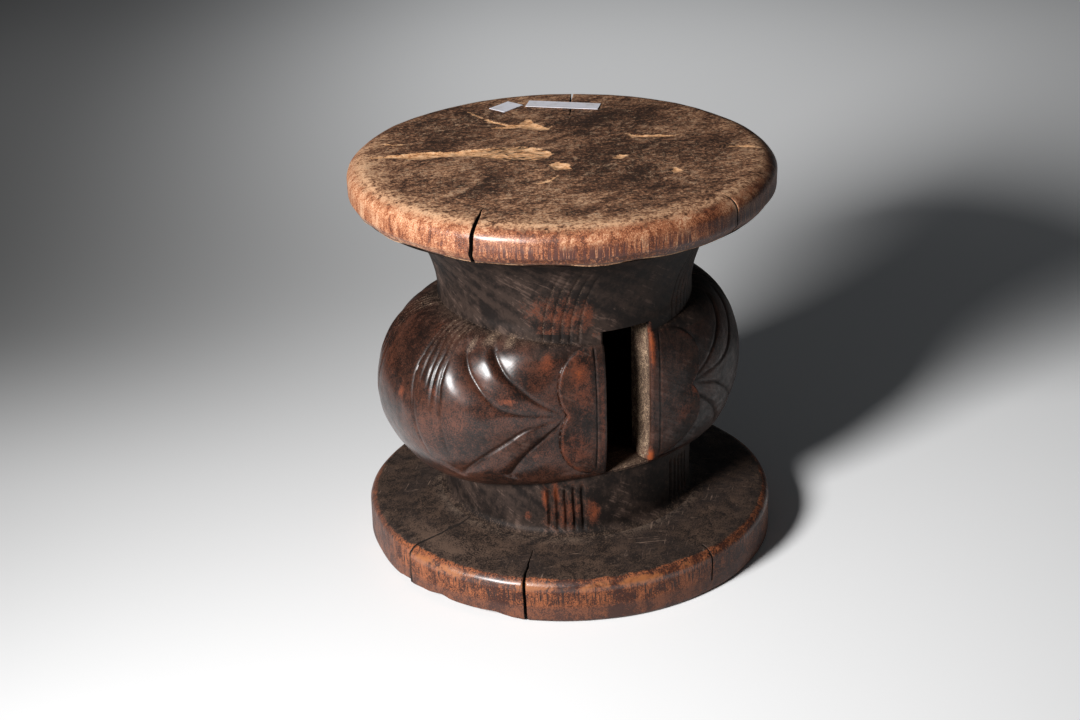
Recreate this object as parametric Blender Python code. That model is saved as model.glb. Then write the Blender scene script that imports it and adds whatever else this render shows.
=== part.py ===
"""Carved wooden stool: a round seat and foot joined by a hollow, two-lobed waist.

Metres, +Z up. The origin is the middle of the foot on the ground. The two slots of the waist face
-Y and +Y, and its two carved lobes bulge towards -X and +X. The stool is cut from one upright log:
the objects are the sections that the carver laid out along it, parted at the creases.
Azimuths are degrees from -Y towards +X. Half a turn about the log brings the carving back on itself.
"""

import math

import bmesh
import bpy
from mathutils import Euler, Vector

# Hairline between neighbouring sections
FIT_GAP = 0.0003

# Seat
STOOL_HEIGHT = 0.328
SEAT_RADIUS = 0.170
SEAT_RIM = 0.031
SEAT_EDGE_ROUND = 0.011
SEAT_TAPER_IN = 0.0055
SEAT_TAPER_HEIGHT = 0.009

# Foot
BASE_RADIUS = 0.1685
BASE_RIM = 0.038
BASE_EDGE_ROUND = 0.009
BASE_FOOT_ROUND = 0.005
BASE_CROWN = 0.004

# Plain turned line of the waist: a collar below, a neck above, and a flare under the seat
COLLAR_RADIUS = 0.1015
COLLAR_FILLET = 0.006
NECK_RADIUS = 0.103
FLARE_HEIGHT = 0.081
FLARE_INSET = 0.0015

# Slots and the hollow that they open into
SLOT_WIDTH = 0.041
SLOT_SILL = 0.096
SLOT_LINTEL = 0.217
HOLLOW_TO_SLOT = 0.074
HOLLOW_TO_LOBE = 0.090

# Bulb: an oval in plan, narrow and flat at the slots and wide at the lobes; 2 would make it a plain oval
BULB_NARROW = 0.1045
BULB_SQUARENESS = 2.5
LEFT_LOBE_REACH = 0.158
RIGHT_LOBE_REACH = 0.146
BULB_WIDEST = 0.148
CREASE_TOP_AT_SLOT = 0.207
CREASE_TOP_AT_LOBE = 0.217
CREASE_LOW_AT_SLOT = 0.094
CREASE_LOW_AT_LOBE = 0.080

# Raised plates beside the slots: a plain strip, then two bows that meet in a cusp
STRIP_WIDTH = 0.008
PLATE_RAISE = 0.0035
UPPER_BOW_HEIGHT = 0.174
UPPER_BOW_HALF = 0.034
LOWER_BOW_HEIGHT = 0.132
LOWER_BOW_HALF = 0.035
NARROW_BOW_REACH = 0.031
WIDE_BOW_REACH = 0.041

# Petals that fan out from each cusp, parted by carved lines: each line has the angle above the level
# at which it leaves the cusp, its curl in degrees at CURL_SPAN from it, and its length
PETAL_LINES = ((-49, 0, 0.066), (-21, -13, 0.092), (-1, 33, 0.096), (26, 20, 0.078))
CURL_SPAN = 0.100
LINE_START = 0.007
LINE_WIDTH = 0.009
LINE_DEPTH = 0.0030
LINE_TAPER = 0.34

# Fan of grooves on each side of a lobe's middle, counted from an angle from the slot; each groove
# narrows to a share of its width at its foot
FAN_START = 67.5
FAN_PITCH = 0.0072
FAN_GROOVES = 5
FAN_WIDTH = 0.0036
FAN_DEPTH = 0.0016
FAN_TOP = 0.206
FAN_LONG_FOOT = 0.116
FAN_SHORT_FOOT = 0.168
FAN_TIP = 0.25
FAN_FADE = 0.012

# Height of a carving cutter's top above the surface that it cuts
CARVING_CLEAR = 0.005

# Groups of upright grooves on the neck and the collar, beyond each plate
GROOVES_IN_GROUP = 5
GROOVE_PITCH = 0.007
GROOVE_WIDTH = 0.0036
GROOVE_DEPTH = 0.0018
GROOVE_TOP = 0.268
GROOVE_FADE = 0.022
NARROW_SIDE_GROUP = -29.3
WIDE_SIDE_GROUP = 34.5

# Drying checks, each with its azimuth, its width at the rim and its depth
SEAT_CHECKS = ((-52.0, 0.0033, 0.039), (22.3, 0.0016, 0.016), (148.0, 0.0016, 0.062))
BASE_CHECKS = ((-78.5, 0.0016, 0.052), (-40.5, 0.0026, 0.036), (14.8, 0.0018, 0.014))

# Paper stickers on the seat: the strip's middle lies in from the rim, and the tag's middle beyond the
# strip's end and aside of its line
PAPER_THICKNESS = 0.0004
STRIP_LENGTH, STRIP_BREADTH = 0.062, 0.016
STRIP_FROM_RIM = 0.0458
STRIP_AZIMUTH, STRIP_TURN = 151.4, -39.5
TAG_LENGTH, TAG_WIDTH = 0.024, 0.017
TAG_BEYOND_STRIP, TAG_ASIDE = 0.0157, 0.0114
TAG_TURN = 22

# Facets
TURNED_STEPS = 72
ROUND_STEPS = 4
FIRST_PLAIN = -50
PLAIN_STEP = 7.5
LOBE_COLUMNS = 32
LOBE_INNER_COLUMNS = 8
PLATE_COLUMNS = 6
PLATE_INNER_COLUMNS = 2
BULB_LEVELS = 16
LINE_STEPS = 8
FAN_STEPS = 8
COLLAR_LEVELS = 7
NECK_LEVELS = 9
SMOOTH_ANGLE = math.radians(40)
MERGE_DISTANCE = 0.00001
CUTTER_MARGIN = 0.010
SETTLE_ROUNDS = 6

SEAT_UNDERSIDE = STOOL_HEIGHT - SEAT_RIM
COLLAR_FOOT = BASE_RIM + BASE_CROWN
SLOT_HALF = SLOT_WIDTH / 2
PLATE_ROOT = SLOT_HALF + STRIP_WIDTH
BOW_HALVES = UPPER_BOW_HALF + LOWER_BOW_HALF
CUSP_HEIGHT = (UPPER_BOW_HEIGHT * LOWER_BOW_HALF + LOWER_BOW_HEIGHT * UPPER_BOW_HALF) / BOW_HALVES
BULB_FOOT = SLOT_SILL + FIT_GAP
BULB_HEAD = SLOT_LINTEL - FIT_GAP

for leftover in list(bpy.data.objects):
    bpy.data.objects.remove(leftover)

stool = bpy.data.objects.new("stool", None)
bpy.context.collection.objects.link(stool)


def finish(name, colour, roughness):
    """A Principled BSDF material for one piece."""
    material = bpy.data.materials.new(name)
    material.use_nodes = True
    shader = material.node_tree.nodes["Principled BSDF"]
    shader.inputs["Base Color"].default_value = (*colour, 1)
    shader.inputs["Roughness"].default_value = roughness
    shader.inputs["Metallic"].default_value = 0
    return material


def place(name, bm, height, material):
    """Turns a bmesh in world coordinates into an object with its origin on the log's axis."""
    origin = Vector((0, 0, height))
    bmesh.ops.translate(bm, vec=-origin, verts=bm.verts)
    mesh = bpy.data.meshes.new(name)
    bm.to_mesh(mesh)
    bm.free()
    mesh.shade_smooth()
    mesh.set_sharp_from_angle(angle=SMOOTH_ANGLE)
    mesh.materials.append(material)
    piece = bpy.data.objects.new(name, mesh)
    piece.location = origin
    piece.parent = stool
    bpy.context.collection.objects.link(piece)
    return piece


def on_log(radius, azimuth, height):
    """The point at a radius, an azimuth in radians and a height."""
    return Vector((radius * math.sin(azimuth), -radius * math.cos(azimuth), height))


def loft(rings):
    """A closed solid through level rings, given from the bottom up, each anticlockwise from above."""
    bm = bmesh.new()
    rows = [[bm.verts.new(point) for point in ring] for ring in rings]
    count = len(rows[0])
    for low, high in zip(rows, rows[1:]):
        for i in range(count):
            j = (i + 1) % count
            bm.faces.new((low[i], low[j], high[j], high[i]))
    bm.faces.new(reversed(rows[0]))
    bm.faces.new(rows[-1])
    return bm


def turned(profile):
    """A solid of revolution from a profile of (radius, height) that starts and ends on the axis."""
    bm = bmesh.new()
    verts = [bm.verts.new((radius, 0, height)) for radius, height in profile]
    edges = [bm.edges.new(pair) for pair in zip(verts, verts[1:])]
    bmesh.ops.spin(bm, geom=verts + edges, cent=(0, 0, 0), axis=(0, 0, 1), angle=math.tau,
                   steps=TURNED_STEPS, use_merge=True)
    bmesh.ops.remove_doubles(bm, verts=bm.verts, dist=MERGE_DISTANCE)
    bmesh.ops.recalc_face_normals(bm, faces=bm.faces)
    return bm


def rounding(radius, height, size):
    """Profile points of a quarter round whose corner would be at this radius and height."""
    points = []
    for step in range(ROUND_STEPS + 1):
        angle = math.pi / 2 * step / ROUND_STEPS
        points.append((radius - size + size * math.cos(angle), height - size + size * math.sin(angle)))
    return points


def carve(piece, bm):
    """Cuts a bmesh of closed cutters, in world coordinates, out of a piece."""
    bmesh.ops.recalc_face_normals(bm, faces=bm.faces)
    cutter = place(piece.name + "_cutter", bm, piece.location.z, piece.data.materials[0])
    cutter.hide_render = True
    cutter.display_type = "WIRE"
    modifier = piece.modifiers.new("carving", "BOOLEAN")
    modifier.operation = "DIFFERENCE"
    modifier.solver = "EXACT"
    modifier.use_self = True
    modifier.object = cutter


def cut_checks(slab, checks, radius, low, high):
    """Cuts wedge-shaped drying checks into the rim of a slab."""
    bm = bmesh.new()
    margin = CUTTER_MARGIN
    for azimuth, width, depth in checks:
        turn = math.radians(azimuth)
        outer = radius + margin
        half = width / 2 * (depth + margin) / depth / outer
        corners = [on_log(radius - depth, turn, low - margin), on_log(outer, turn - half, low - margin),
                   on_log(outer, turn + half, low - margin)]
        face = bm.faces.new([bm.verts.new(corner) for corner in corners])
        grown = bmesh.ops.extrude_face_region(bm, geom=[face])
        raised = [item for item in grown["geom"] if isinstance(item, bmesh.types.BMVert)]
        bmesh.ops.translate(bm, vec=(0, 0, high - low + 2 * margin), verts=raised)
    carve(slab, bm)


def plain_line(height):
    """Radius of the waist's turned line: fillet and collar, neck, and a quarter-oval flare."""
    rise = (height - COLLAR_FOOT) / (SLOT_LINTEL - COLLAR_FOOT)
    radius = COLLAR_RADIUS + (NECK_RADIUS - COLLAR_RADIUS) * min(max(rise, 0), 1)
    above_foot = height - COLLAR_FOOT
    if above_foot < COLLAR_FILLET:
        drop = COLLAR_FILLET - above_foot
        radius += COLLAR_FILLET - math.sqrt(max(COLLAR_FILLET ** 2 - drop ** 2, 0))
    share = (height - SEAT_UNDERSIDE + FLARE_HEIGHT) / FLARE_HEIGHT
    if share > 0:
        reach = SEAT_RADIUS - SEAT_TAPER_IN - FLARE_INSET - radius
        radius += reach * (1 - math.sqrt(max(1 - share ** 2, 0)))
    return radius


def swell(azimuth, height):
    """How far the bulb has come out of the turned line, from 0 at its creases to 1 at its widest."""
    towards_lobe = math.sin(azimuth) ** 2
    if height > BULB_WIDEST:
        crease = CREASE_TOP_AT_SLOT + (CREASE_TOP_AT_LOBE - CREASE_TOP_AT_SLOT) * towards_lobe
    else:
        crease = CREASE_LOW_AT_SLOT + (CREASE_LOW_AT_LOBE - CREASE_LOW_AT_SLOT) * towards_lobe
    share = (height - BULB_WIDEST) / (crease - BULB_WIDEST)
    return math.sqrt(max(1 - share ** 2, 0))


def waist(azimuth, height):
    """Radius of the waist before its relief."""
    reach = RIGHT_LOBE_REACH if math.sin(azimuth) > 0 else LEFT_LOBE_REACH
    to_slot = (abs(math.cos(azimuth)) / BULB_NARROW) ** BULB_SQUARENESS
    to_lobe = (abs(math.sin(azimuth)) / reach) ** BULB_SQUARENESS
    oval = (to_slot + to_lobe) ** (-1 / BULB_SQUARENESS)
    line = plain_line(height)
    return line + max(oval - line, 0) * swell(azimuth, height)


def bow(height, reach):
    """Distance of a plate's outer edge from the middle of its slot: the further of its two bows."""
    widest = 0
    for centre, half in ((UPPER_BOW_HEIGHT, UPPER_BOW_HALF), (LOWER_BOW_HEIGHT, LOWER_BOW_HALF)):
        widest = max(widest, 1 - ((height - centre) / half) ** 2)
    return PLATE_ROOT + reach * math.sqrt(widest)


def angle_across(across, slot, side, height, raised=0):
    """Angle from a slot's axis of the point on the waist at a distance across from its middle."""
    angle = 0
    for _ in range(SETTLE_ROUNDS):
        angle = math.asin(across / (waist(slot + side * angle, height) + raised))
    return angle


def hollow(turn, height):
    """A point on the wall of the oval hollow."""
    return Vector((HOLLOW_TO_LOBE * math.sin(turn), -HOLLOW_TO_SLOT * math.cos(turn), height))


def hollow_turn(across):
    """The turn, from a slot's axis, of the hollow's wall at a distance across from its middle."""
    return math.asin(across / HOLLOW_TO_LOBE)


def bulb_levels(low, high):
    """Heights up the bulb, closer together towards the shoulder."""
    shares = [step / BULB_LEVELS for step in range(BULB_LEVELS + 1)]
    return [low + (high - low) * (share + math.sin(math.pi / 2 * share)) / 2 for share in shares]


def spread(start, end, count):
    """Evenly spaced values from start to end, both included."""
    return [start + (end - start) * step / count for step in range(count + 1)]


def sweep(bm, path, width, depth):
    """A V-shaped cutter along a path of (azimuth, height, share of the full size) on the waist."""
    rows = []
    for step, (azimuth, height, share) in enumerate(path):
        last = path[max(step - 1, 0)]
        following = path[min(step + 1, len(path) - 1)]
        radius = waist(azimuth, height)
        run = (following[0] - last[0]) * radius
        rise = following[1] - last[1]
        length = math.hypot(run, rise)
        across = -rise / length / radius
        up = run / length
        bottom = radius - depth * share
        top = radius + CARVING_CLEAR
        half = width / 2 / depth * (top - bottom)
        rows.append([
            bm.verts.new(on_log(bottom, azimuth, height)),
            bm.verts.new(on_log(top, azimuth + half * across, height + half * up)),
            bm.verts.new(on_log(top, azimuth - half * across, height - half * up)),
        ])
    for low, high in zip(rows, rows[1:]):
        for i in range(3):
            bm.faces.new((low[i], low[(i + 1) % 3], high[(i + 1) % 3], high[i]))
    bm.faces.new(reversed(rows[0]))
    bm.faces.new(rows[-1])


def petal_line(slot, side, reach, start, curl, length):
    """Path of one line between petals, from the cusp of the plate on that side of a slot."""
    root_angle = angle_across(bow(CUSP_HEIGHT, reach), slot, side, CUSP_HEIGHT)
    path = []
    for distance in spread(LINE_START, length, LINE_STEPS):
        bearing = math.radians(start + curl * (distance / CURL_SPAN) ** 2)
        height = CUSP_HEIGHT + distance * math.sin(bearing)
        angle = root_angle
        for _ in range(SETTLE_ROUNDS):
            angle = root_angle + distance * math.cos(bearing) / waist(slot + side * angle, height)
        share = min(LINE_TAPER * distance / LINE_WIDTH, 1)
        path.append((slot + side * angle, height, share))
    return path


def fan_line(slot, side, number):
    """Path of one groove of a fan, from its foot up to the shoulder; the outer two run lower."""
    outer = number in (0, FAN_GROOVES - 1)
    path = []
    foot = FAN_LONG_FOOT if outer else FAN_SHORT_FOOT
    angle = math.radians(FAN_START) + number * FAN_PITCH / waist(slot + side * math.pi / 2, BULB_WIDEST)
    for height in spread(foot, FAN_TOP, FAN_STEPS):
        share = min(FAN_TIP + (height - foot) / FAN_FADE, 1)
        path.append((slot + side * angle, height, share))
    return path


def carve_lobe(piece, middle, first_reach, last_reach):
    """Carves the petals and the two fans of a lobe, from its first plate and from its last."""
    bm = bmesh.new()
    quarter = math.pi / 2
    for slot, side, reach in ((middle - quarter, 1, first_reach), (middle + quarter, -1, last_reach)):
        for line in PETAL_LINES:
            sweep(bm, petal_line(slot, side, reach, *line), LINE_WIDTH, LINE_DEPTH)
        for number in range(FAN_GROOVES):
            sweep(bm, fan_line(slot, side, number), FAN_WIDTH, FAN_DEPTH)
    carve(piece, bm)


def lobe(name, middle, first_reach, last_reach):
    """A lobe about a middle azimuth: the wall from one plate round to the next, then its carving."""
    first_slot = middle - math.pi / 2
    last_slot = middle + math.pi / 2
    rings = []
    for height in bulb_levels(BULB_FOOT, BULB_HEAD):
        first = bow(height, first_reach) + FIT_GAP
        last = bow(height, last_reach) + FIT_GAP
        start = first_slot + angle_across(first, first_slot, 1, height)
        end = last_slot - angle_across(last, last_slot, -1, height)
        outer = spread(start, end, LOBE_COLUMNS)
        ring = [on_log(waist(azimuth, height), azimuth, height) for azimuth in outer]
        inner_end = last_slot - hollow_turn(last)
        inner_start = first_slot + hollow_turn(first)
        ring += [hollow(turn, height) for turn in spread(inner_end, inner_start, LOBE_INNER_COLUMNS)]
        rings.append(ring)
    piece = place(name, loft(rings), BULB_FOOT, finish(name, (0.030, 0.015, 0.010), 0.32))
    carve_lobe(piece, middle, first_reach, last_reach)


def plate(name, slot, side, reach):
    """The jamb on one side of the slot at this azimuth: side is 1 towards larger azimuths, else -1."""
    rings = []
    for height in bulb_levels(BULB_FOOT, BULB_HEAD):
        raised = PLATE_RAISE * swell(slot, height)
        edge = bow(height, reach)
        ring = []
        for across in spread(SLOT_HALF, edge, PLATE_COLUMNS):
            azimuth = slot + side * angle_across(across, slot, side, height, raised)
            ring.append(on_log(waist(azimuth, height) + raised, azimuth, height))
        for across in spread(edge, SLOT_HALF, PLATE_INNER_COLUMNS):
            ring.append(hollow(slot + side * hollow_turn(across), height))
        rings.append(ring if side > 0 else ring[::-1])
    place(name, loft(rings), BULB_FOOT, finish(name, (0.055, 0.024, 0.013), 0.35))


def groove_centres():
    """Azimuths of the upright grooves: a group beyond each plate, alike after half a turn."""
    pitch = GROOVE_PITCH / NECK_RADIUS
    centres = []
    for group in (NARROW_SIDE_GROUP, WIDE_SIDE_GROUP, NARROW_SIDE_GROUP + 180, WIDE_SIDE_GROUP + 180):
        for number in range(GROOVES_IN_GROUP):
            centres.append(math.radians(group) + (number - (GROOVES_IN_GROUP - 1) / 2) * pitch)
    return centres


def waist_section(levels):
    """A solid length of the waist with its upright grooves, through these heights."""
    half = GROOVE_WIDTH / 2 / NECK_RADIUS
    columns = {}
    for centre in groove_centres():
        columns.update({centre - half: 0, centre: 1, centre + half: 0})
    for azimuth in [math.radians(FIRST_PLAIN + PLAIN_STEP * step) for step in range(int(360 / PLAIN_STEP))]:
        if min(abs(azimuth - known) for known in columns) > half:
            columns[azimuth] = 0
    rings = []
    for height in levels:
        fade = min(max((GROOVE_TOP - height) / GROOVE_FADE, 0), 1)
        ring = []
        for azimuth in sorted(columns):
            depth = GROOVE_DEPTH * fade * columns[azimuth]
            ring.append(on_log(waist(azimuth, height) - depth, azimuth, height))
        rings.append(ring)
    return loft(rings)


def paper(name, length, width, middle, turn):
    """A blank paper sticker lying on the seat."""
    bm = bmesh.new()
    grid = bmesh.ops.create_grid(bm, x_segments=1, y_segments=1, size=0.5)
    bmesh.ops.scale(bm, vec=(length, width, 1), verts=grid["verts"])
    grown = bmesh.ops.extrude_face_region(bm, geom=list(bm.faces))
    raised = [item for item in grown["geom"] if isinstance(item, bmesh.types.BMVert)]
    bmesh.ops.translate(bm, vec=(0, 0, PAPER_THICKNESS), verts=raised)
    bmesh.ops.recalc_face_normals(bm, faces=bm.faces)
    sticker = place(name, bm, 0, finish(name, (0.62, 0.58, 0.55), 0.7))
    sticker.location = middle
    sticker.rotation_euler.z = math.radians(turn)


# The foot: a thick disc with a worn upper edge, its top rising a little towards the collar
base_profile = [(0, 0), (BASE_RADIUS - BASE_FOOT_ROUND, 0), (BASE_RADIUS, BASE_FOOT_ROUND)]
base_profile += rounding(BASE_RADIUS, BASE_RIM, BASE_EDGE_ROUND)
base_profile += [(COLLAR_RADIUS + COLLAR_FILLET, COLLAR_FOOT), (0, COLLAR_FOOT)]
base = place("base_slab", turned(base_profile), 0, finish("base_slab", (0.130, 0.048, 0.018), 0.38))
cut_checks(base, BASE_CHECKS, BASE_RADIUS, 0, COLLAR_FOOT)

# The collar, which widens at its top into the undersides of the lobes
collar = waist_section(spread(COLLAR_FOOT + FIT_GAP, SLOT_SILL, COLLAR_LEVELS))
place("lower_waist", collar, COLLAR_FOOT, finish("lower_waist", (0.036, 0.018, 0.011), 0.42))

# The bulb: two lobes, and a plate on each side of each slot
lobe("lobe_right", math.pi / 2, WIDE_BOW_REACH, NARROW_BOW_REACH)
lobe("lobe_left", -math.pi / 2, WIDE_BOW_REACH, NARROW_BOW_REACH)
plate("plate_front_right", 0, 1, WIDE_BOW_REACH)
plate("plate_front_left", 0, -1, NARROW_BOW_REACH)
plate("plate_back_left", math.pi, 1, WIDE_BOW_REACH)
plate("plate_back_right", math.pi, -1, NARROW_BOW_REACH)

# The neck, which flares out to carry the seat
neck_levels = spread(SLOT_LINTEL, SEAT_UNDERSIDE - FIT_GAP, NECK_LEVELS)
neck_finish = finish("upper_waist", (0.032, 0.016, 0.011), 0.45)
place("upper_waist", waist_section(neck_levels), SLOT_LINTEL, neck_finish)

# The seat: a disc with a worn upper edge, a little narrower below
seat_profile = [(0, SEAT_UNDERSIDE), (SEAT_RADIUS - SEAT_TAPER_IN, SEAT_UNDERSIDE)]
seat_profile += [(SEAT_RADIUS, SEAT_UNDERSIDE + SEAT_TAPER_HEIGHT)]
seat_profile += rounding(SEAT_RADIUS, STOOL_HEIGHT, SEAT_EDGE_ROUND)
seat_profile += [(0, STOOL_HEIGHT)]
seat_finish = finish("seat_slab", (0.125, 0.068, 0.038), 0.6)
seat = place("seat_slab", turned(seat_profile), SEAT_UNDERSIDE, seat_finish)
cut_checks(seat, SEAT_CHECKS, SEAT_RADIUS, SEAT_UNDERSIDE, STOOL_HEIGHT)

# Two blank stickers
strip_middle = on_log(SEAT_RADIUS - STRIP_FROM_RIM, math.radians(STRIP_AZIMUTH), STOOL_HEIGHT + FIT_GAP)
tag_offset = Vector((-STRIP_LENGTH / 2 - TAG_BEYOND_STRIP, -TAG_ASIDE, 0))
tag_offset.rotate(Euler((0, 0, math.radians(STRIP_TURN))))
paper("paper_strip", STRIP_LENGTH, STRIP_BREADTH, strip_middle, STRIP_TURN)
paper("paper_tag", TAG_LENGTH, TAG_WIDTH, strip_middle + tag_offset, TAG_TURN)
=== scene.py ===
import math

import bpy
import numpy as np
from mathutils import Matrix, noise


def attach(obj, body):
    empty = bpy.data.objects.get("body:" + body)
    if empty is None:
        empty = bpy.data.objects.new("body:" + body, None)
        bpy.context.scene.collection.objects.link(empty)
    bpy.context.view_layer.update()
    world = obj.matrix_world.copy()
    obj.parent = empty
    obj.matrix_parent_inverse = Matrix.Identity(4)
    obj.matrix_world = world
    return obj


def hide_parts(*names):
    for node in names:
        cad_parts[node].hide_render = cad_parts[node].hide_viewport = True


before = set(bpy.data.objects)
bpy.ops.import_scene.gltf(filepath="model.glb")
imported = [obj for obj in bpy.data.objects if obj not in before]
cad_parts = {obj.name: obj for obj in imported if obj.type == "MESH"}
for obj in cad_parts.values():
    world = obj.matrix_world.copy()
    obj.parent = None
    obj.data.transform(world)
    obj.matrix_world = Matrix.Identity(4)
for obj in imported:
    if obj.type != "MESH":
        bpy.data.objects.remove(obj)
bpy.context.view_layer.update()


# The foot: a thick disc at the butt of the log, hewn flat on top and worn glossy along its upper edge.
# It is one with the collar above it. Drying checks have opened from the rim inwards, the rim has
# sunk back beside one of them, and its lower edge has broken away at the front left.
BASE_RADIUS = 0.1685
BASE_RIM = 0.038
BASE_EDGE_ROUND = 0.009
BASE_FOOT_ROUND = 0.004
BASE_CROWN = 0.004
COLLAR_RADIUS = 0.1015
COLLAR_FILLET = 0.006
COLLAR_FOOT = BASE_RIM + BASE_CROWN
TURNED_STEPS = 540
SMOOTH_BELOW = math.radians(48)
HEWN_DEPTH = 0.0006
SUNK_DEPTH = 0.0025
BROKEN_HEIGHT = 0.0075
CHIP_HEIGHT = 0.0012


def arc(radius, height, size, steps):
    """Profile points of a quarter round whose corner would be at this radius and height."""
    turns = np.linspace(0, math.pi / 2, steps + 1)
    return [(radius - size + size * math.cos(t), height - size + size * math.sin(t)) for t in turns]


def line(start, end, steps):
    """Profile points after the start, up to and with the end."""
    start, end = np.array(start), np.array(end)
    return [tuple(start + (end - start) * (i + 1) / steps) for i in range(steps)]


def begun(name):
    """Names the form just added, and opens it for editing."""
    piece = bpy.context.object
    piece.name = name
    bpy.ops.object.transform_apply(location=True, rotation=True, scale=True)
    bpy.ops.object.mode_set(mode="EDIT")
    return piece


def turned(name, profile):
    """Draws a half profile of (radius, height) points by extruding one vertex, and spins it round the log."""
    bpy.ops.object.select_all(action="DESELECT")
    bpy.ops.mesh.primitive_plane_add(size=0.01, location=(0, 0, 0))
    piece = begun(name)
    bpy.ops.mesh.select_mode(type="VERT")
    bpy.ops.mesh.select_all(action="SELECT")
    bpy.ops.mesh.merge(type="CENTER")
    bpy.ops.transform.translate(value=(profile[0][0], 0, profile[0][1]))
    for (radius, height), (next_radius, next_height) in zip(profile, profile[1:]):
        move = (next_radius - radius, 0, next_height - height)
        bpy.ops.mesh.extrude_region_move(TRANSFORM_OT_translate={"value": move})
    bpy.ops.mesh.select_all(action="SELECT")
    bpy.ops.mesh.spin(steps=TURNED_STEPS, angle=math.tau, center=(0, 0, 0), axis=(0, 0, 1))
    bpy.ops.mesh.select_all(action="SELECT")
    bpy.ops.mesh.remove_doubles(threshold=0.00002)
    bpy.ops.object.mode_set(mode="OBJECT")
    return piece


def points_of(piece):
    """The piece's vertices as an array."""
    found = np.empty(len(piece.data.vertices) * 3)
    piece.data.vertices.foreach_get("co", found)
    return found.reshape(-1, 3)


def polar(points):
    """Azimuths from -Y towards +X, radii and heights of points."""
    return np.arctan2(points[:, 0], -points[:, 1]), np.hypot(points[:, 0], points[:, 1]), points[:, 2].copy()


def around(radius, azimuth, height):
    """Points at these radii, azimuths and heights."""
    return np.stack([radius * np.sin(azimuth), -radius * np.cos(azimuth), height + 0 * azimuth], axis=1)


def shape(piece, points):
    """Moves the piece's vertices to these points, turns its faces outwards and smooths it."""
    piece.data.vertices.foreach_set("co", np.asarray(points, float).ravel())
    piece.data.update()
    bpy.ops.object.select_all(action="DESELECT")
    piece.select_set(True)
    bpy.context.view_layer.objects.active = piece
    bpy.ops.object.mode_set(mode="EDIT")
    bpy.ops.mesh.select_all(action="SELECT")
    bpy.ops.mesh.normals_make_consistent(inside=False)
    bpy.ops.object.mode_set(mode="OBJECT")
    bpy.ops.object.shade_smooth_by_angle(angle=SMOOTH_BELOW)


def uneven(points, scale, shift):
    """Smoothly uneven values of about -1 to 1, the same on every run."""
    return np.array([noise.noise(place) for place in points * scale + shift])


def ramp(value, low, high):
    """0 below low, 1 above high, and smooth between."""
    share = np.clip((value - low) / (high - low), 0, 1)
    return share * share * (3 - 2 * share)


def block(name, along, across, through):
    """A unit block of cells: a grid along X and across Y, grown through Z in even steps."""
    bpy.ops.object.select_all(action="DESELECT")
    bpy.ops.mesh.primitive_grid_add(x_subdivisions=along, y_subdivisions=across, size=1, location=(0.5, 0.5, 0))
    piece = begun(name)
    bpy.ops.mesh.select_all(action="SELECT")
    for _ in range(through):
        bpy.ops.mesh.extrude_region_move(TRANSFORM_OT_translate={"value": (0, 0, 1 / through)})
    bpy.ops.object.mode_set(mode="OBJECT")
    return piece


def split(piece, name, path, widths, low, high, lean, lining):
    """Cuts a drying check: a ragged, leaning wedge along a path on the level, between two heights."""
    cutter = block(name, len(path) * 4, 1, 10)
    unit = points_of(cutter)
    knots = np.linspace(0, 1, len(path))
    path = np.array(path)
    middle = np.stack([np.interp(unit[:, 0], knots, path[:, i]) for i in (0, 1)], axis=1)
    width = np.interp(unit[:, 0], knots, widths)
    heading = path[-1] - path[0]
    heading = heading / np.linalg.norm(heading)
    sideways = np.array([-heading[1], heading[0]])
    height = low + (high - low) * unit[:, 2]
    probe = np.stack([middle[:, 0], middle[:, 1], height], axis=1)
    ragged = 0.0011 * uneven(probe, 70, 3.1) + 0.0005 * uneven(probe, 260, 8.4)
    offset = (unit[:, 1] - 0.5) * width + ragged + lean * (height - high)
    ends = middle + sideways * offset[:, None]
    shape(cutter, np.stack([ends[:, 0], ends[:, 1], height], axis=1))
    cutter.data.materials.append(lining)
    bpy.ops.object.select_all(action="DESELECT")
    bpy.context.view_layer.objects.active = piece
    modifier = piece.modifiers.new(name, "BOOLEAN")
    modifier.operation = "DIFFERENCE"
    modifier.solver = "EXACT"
    modifier.material_mode = "TRANSFER"
    modifier.object = cutter
    bpy.ops.object.modifier_apply(modifier=name)
    bpy.data.objects.remove(cutter)


def masks(piece, **values):
    """Keeps values for each vertex, for the finish to read."""
    for name, each in values.items():
        layer = piece.data.attributes.new(name, "FLOAT", "POINT")
        layer.data.foreach_set("value", np.asarray(each, np.float32))


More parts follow.
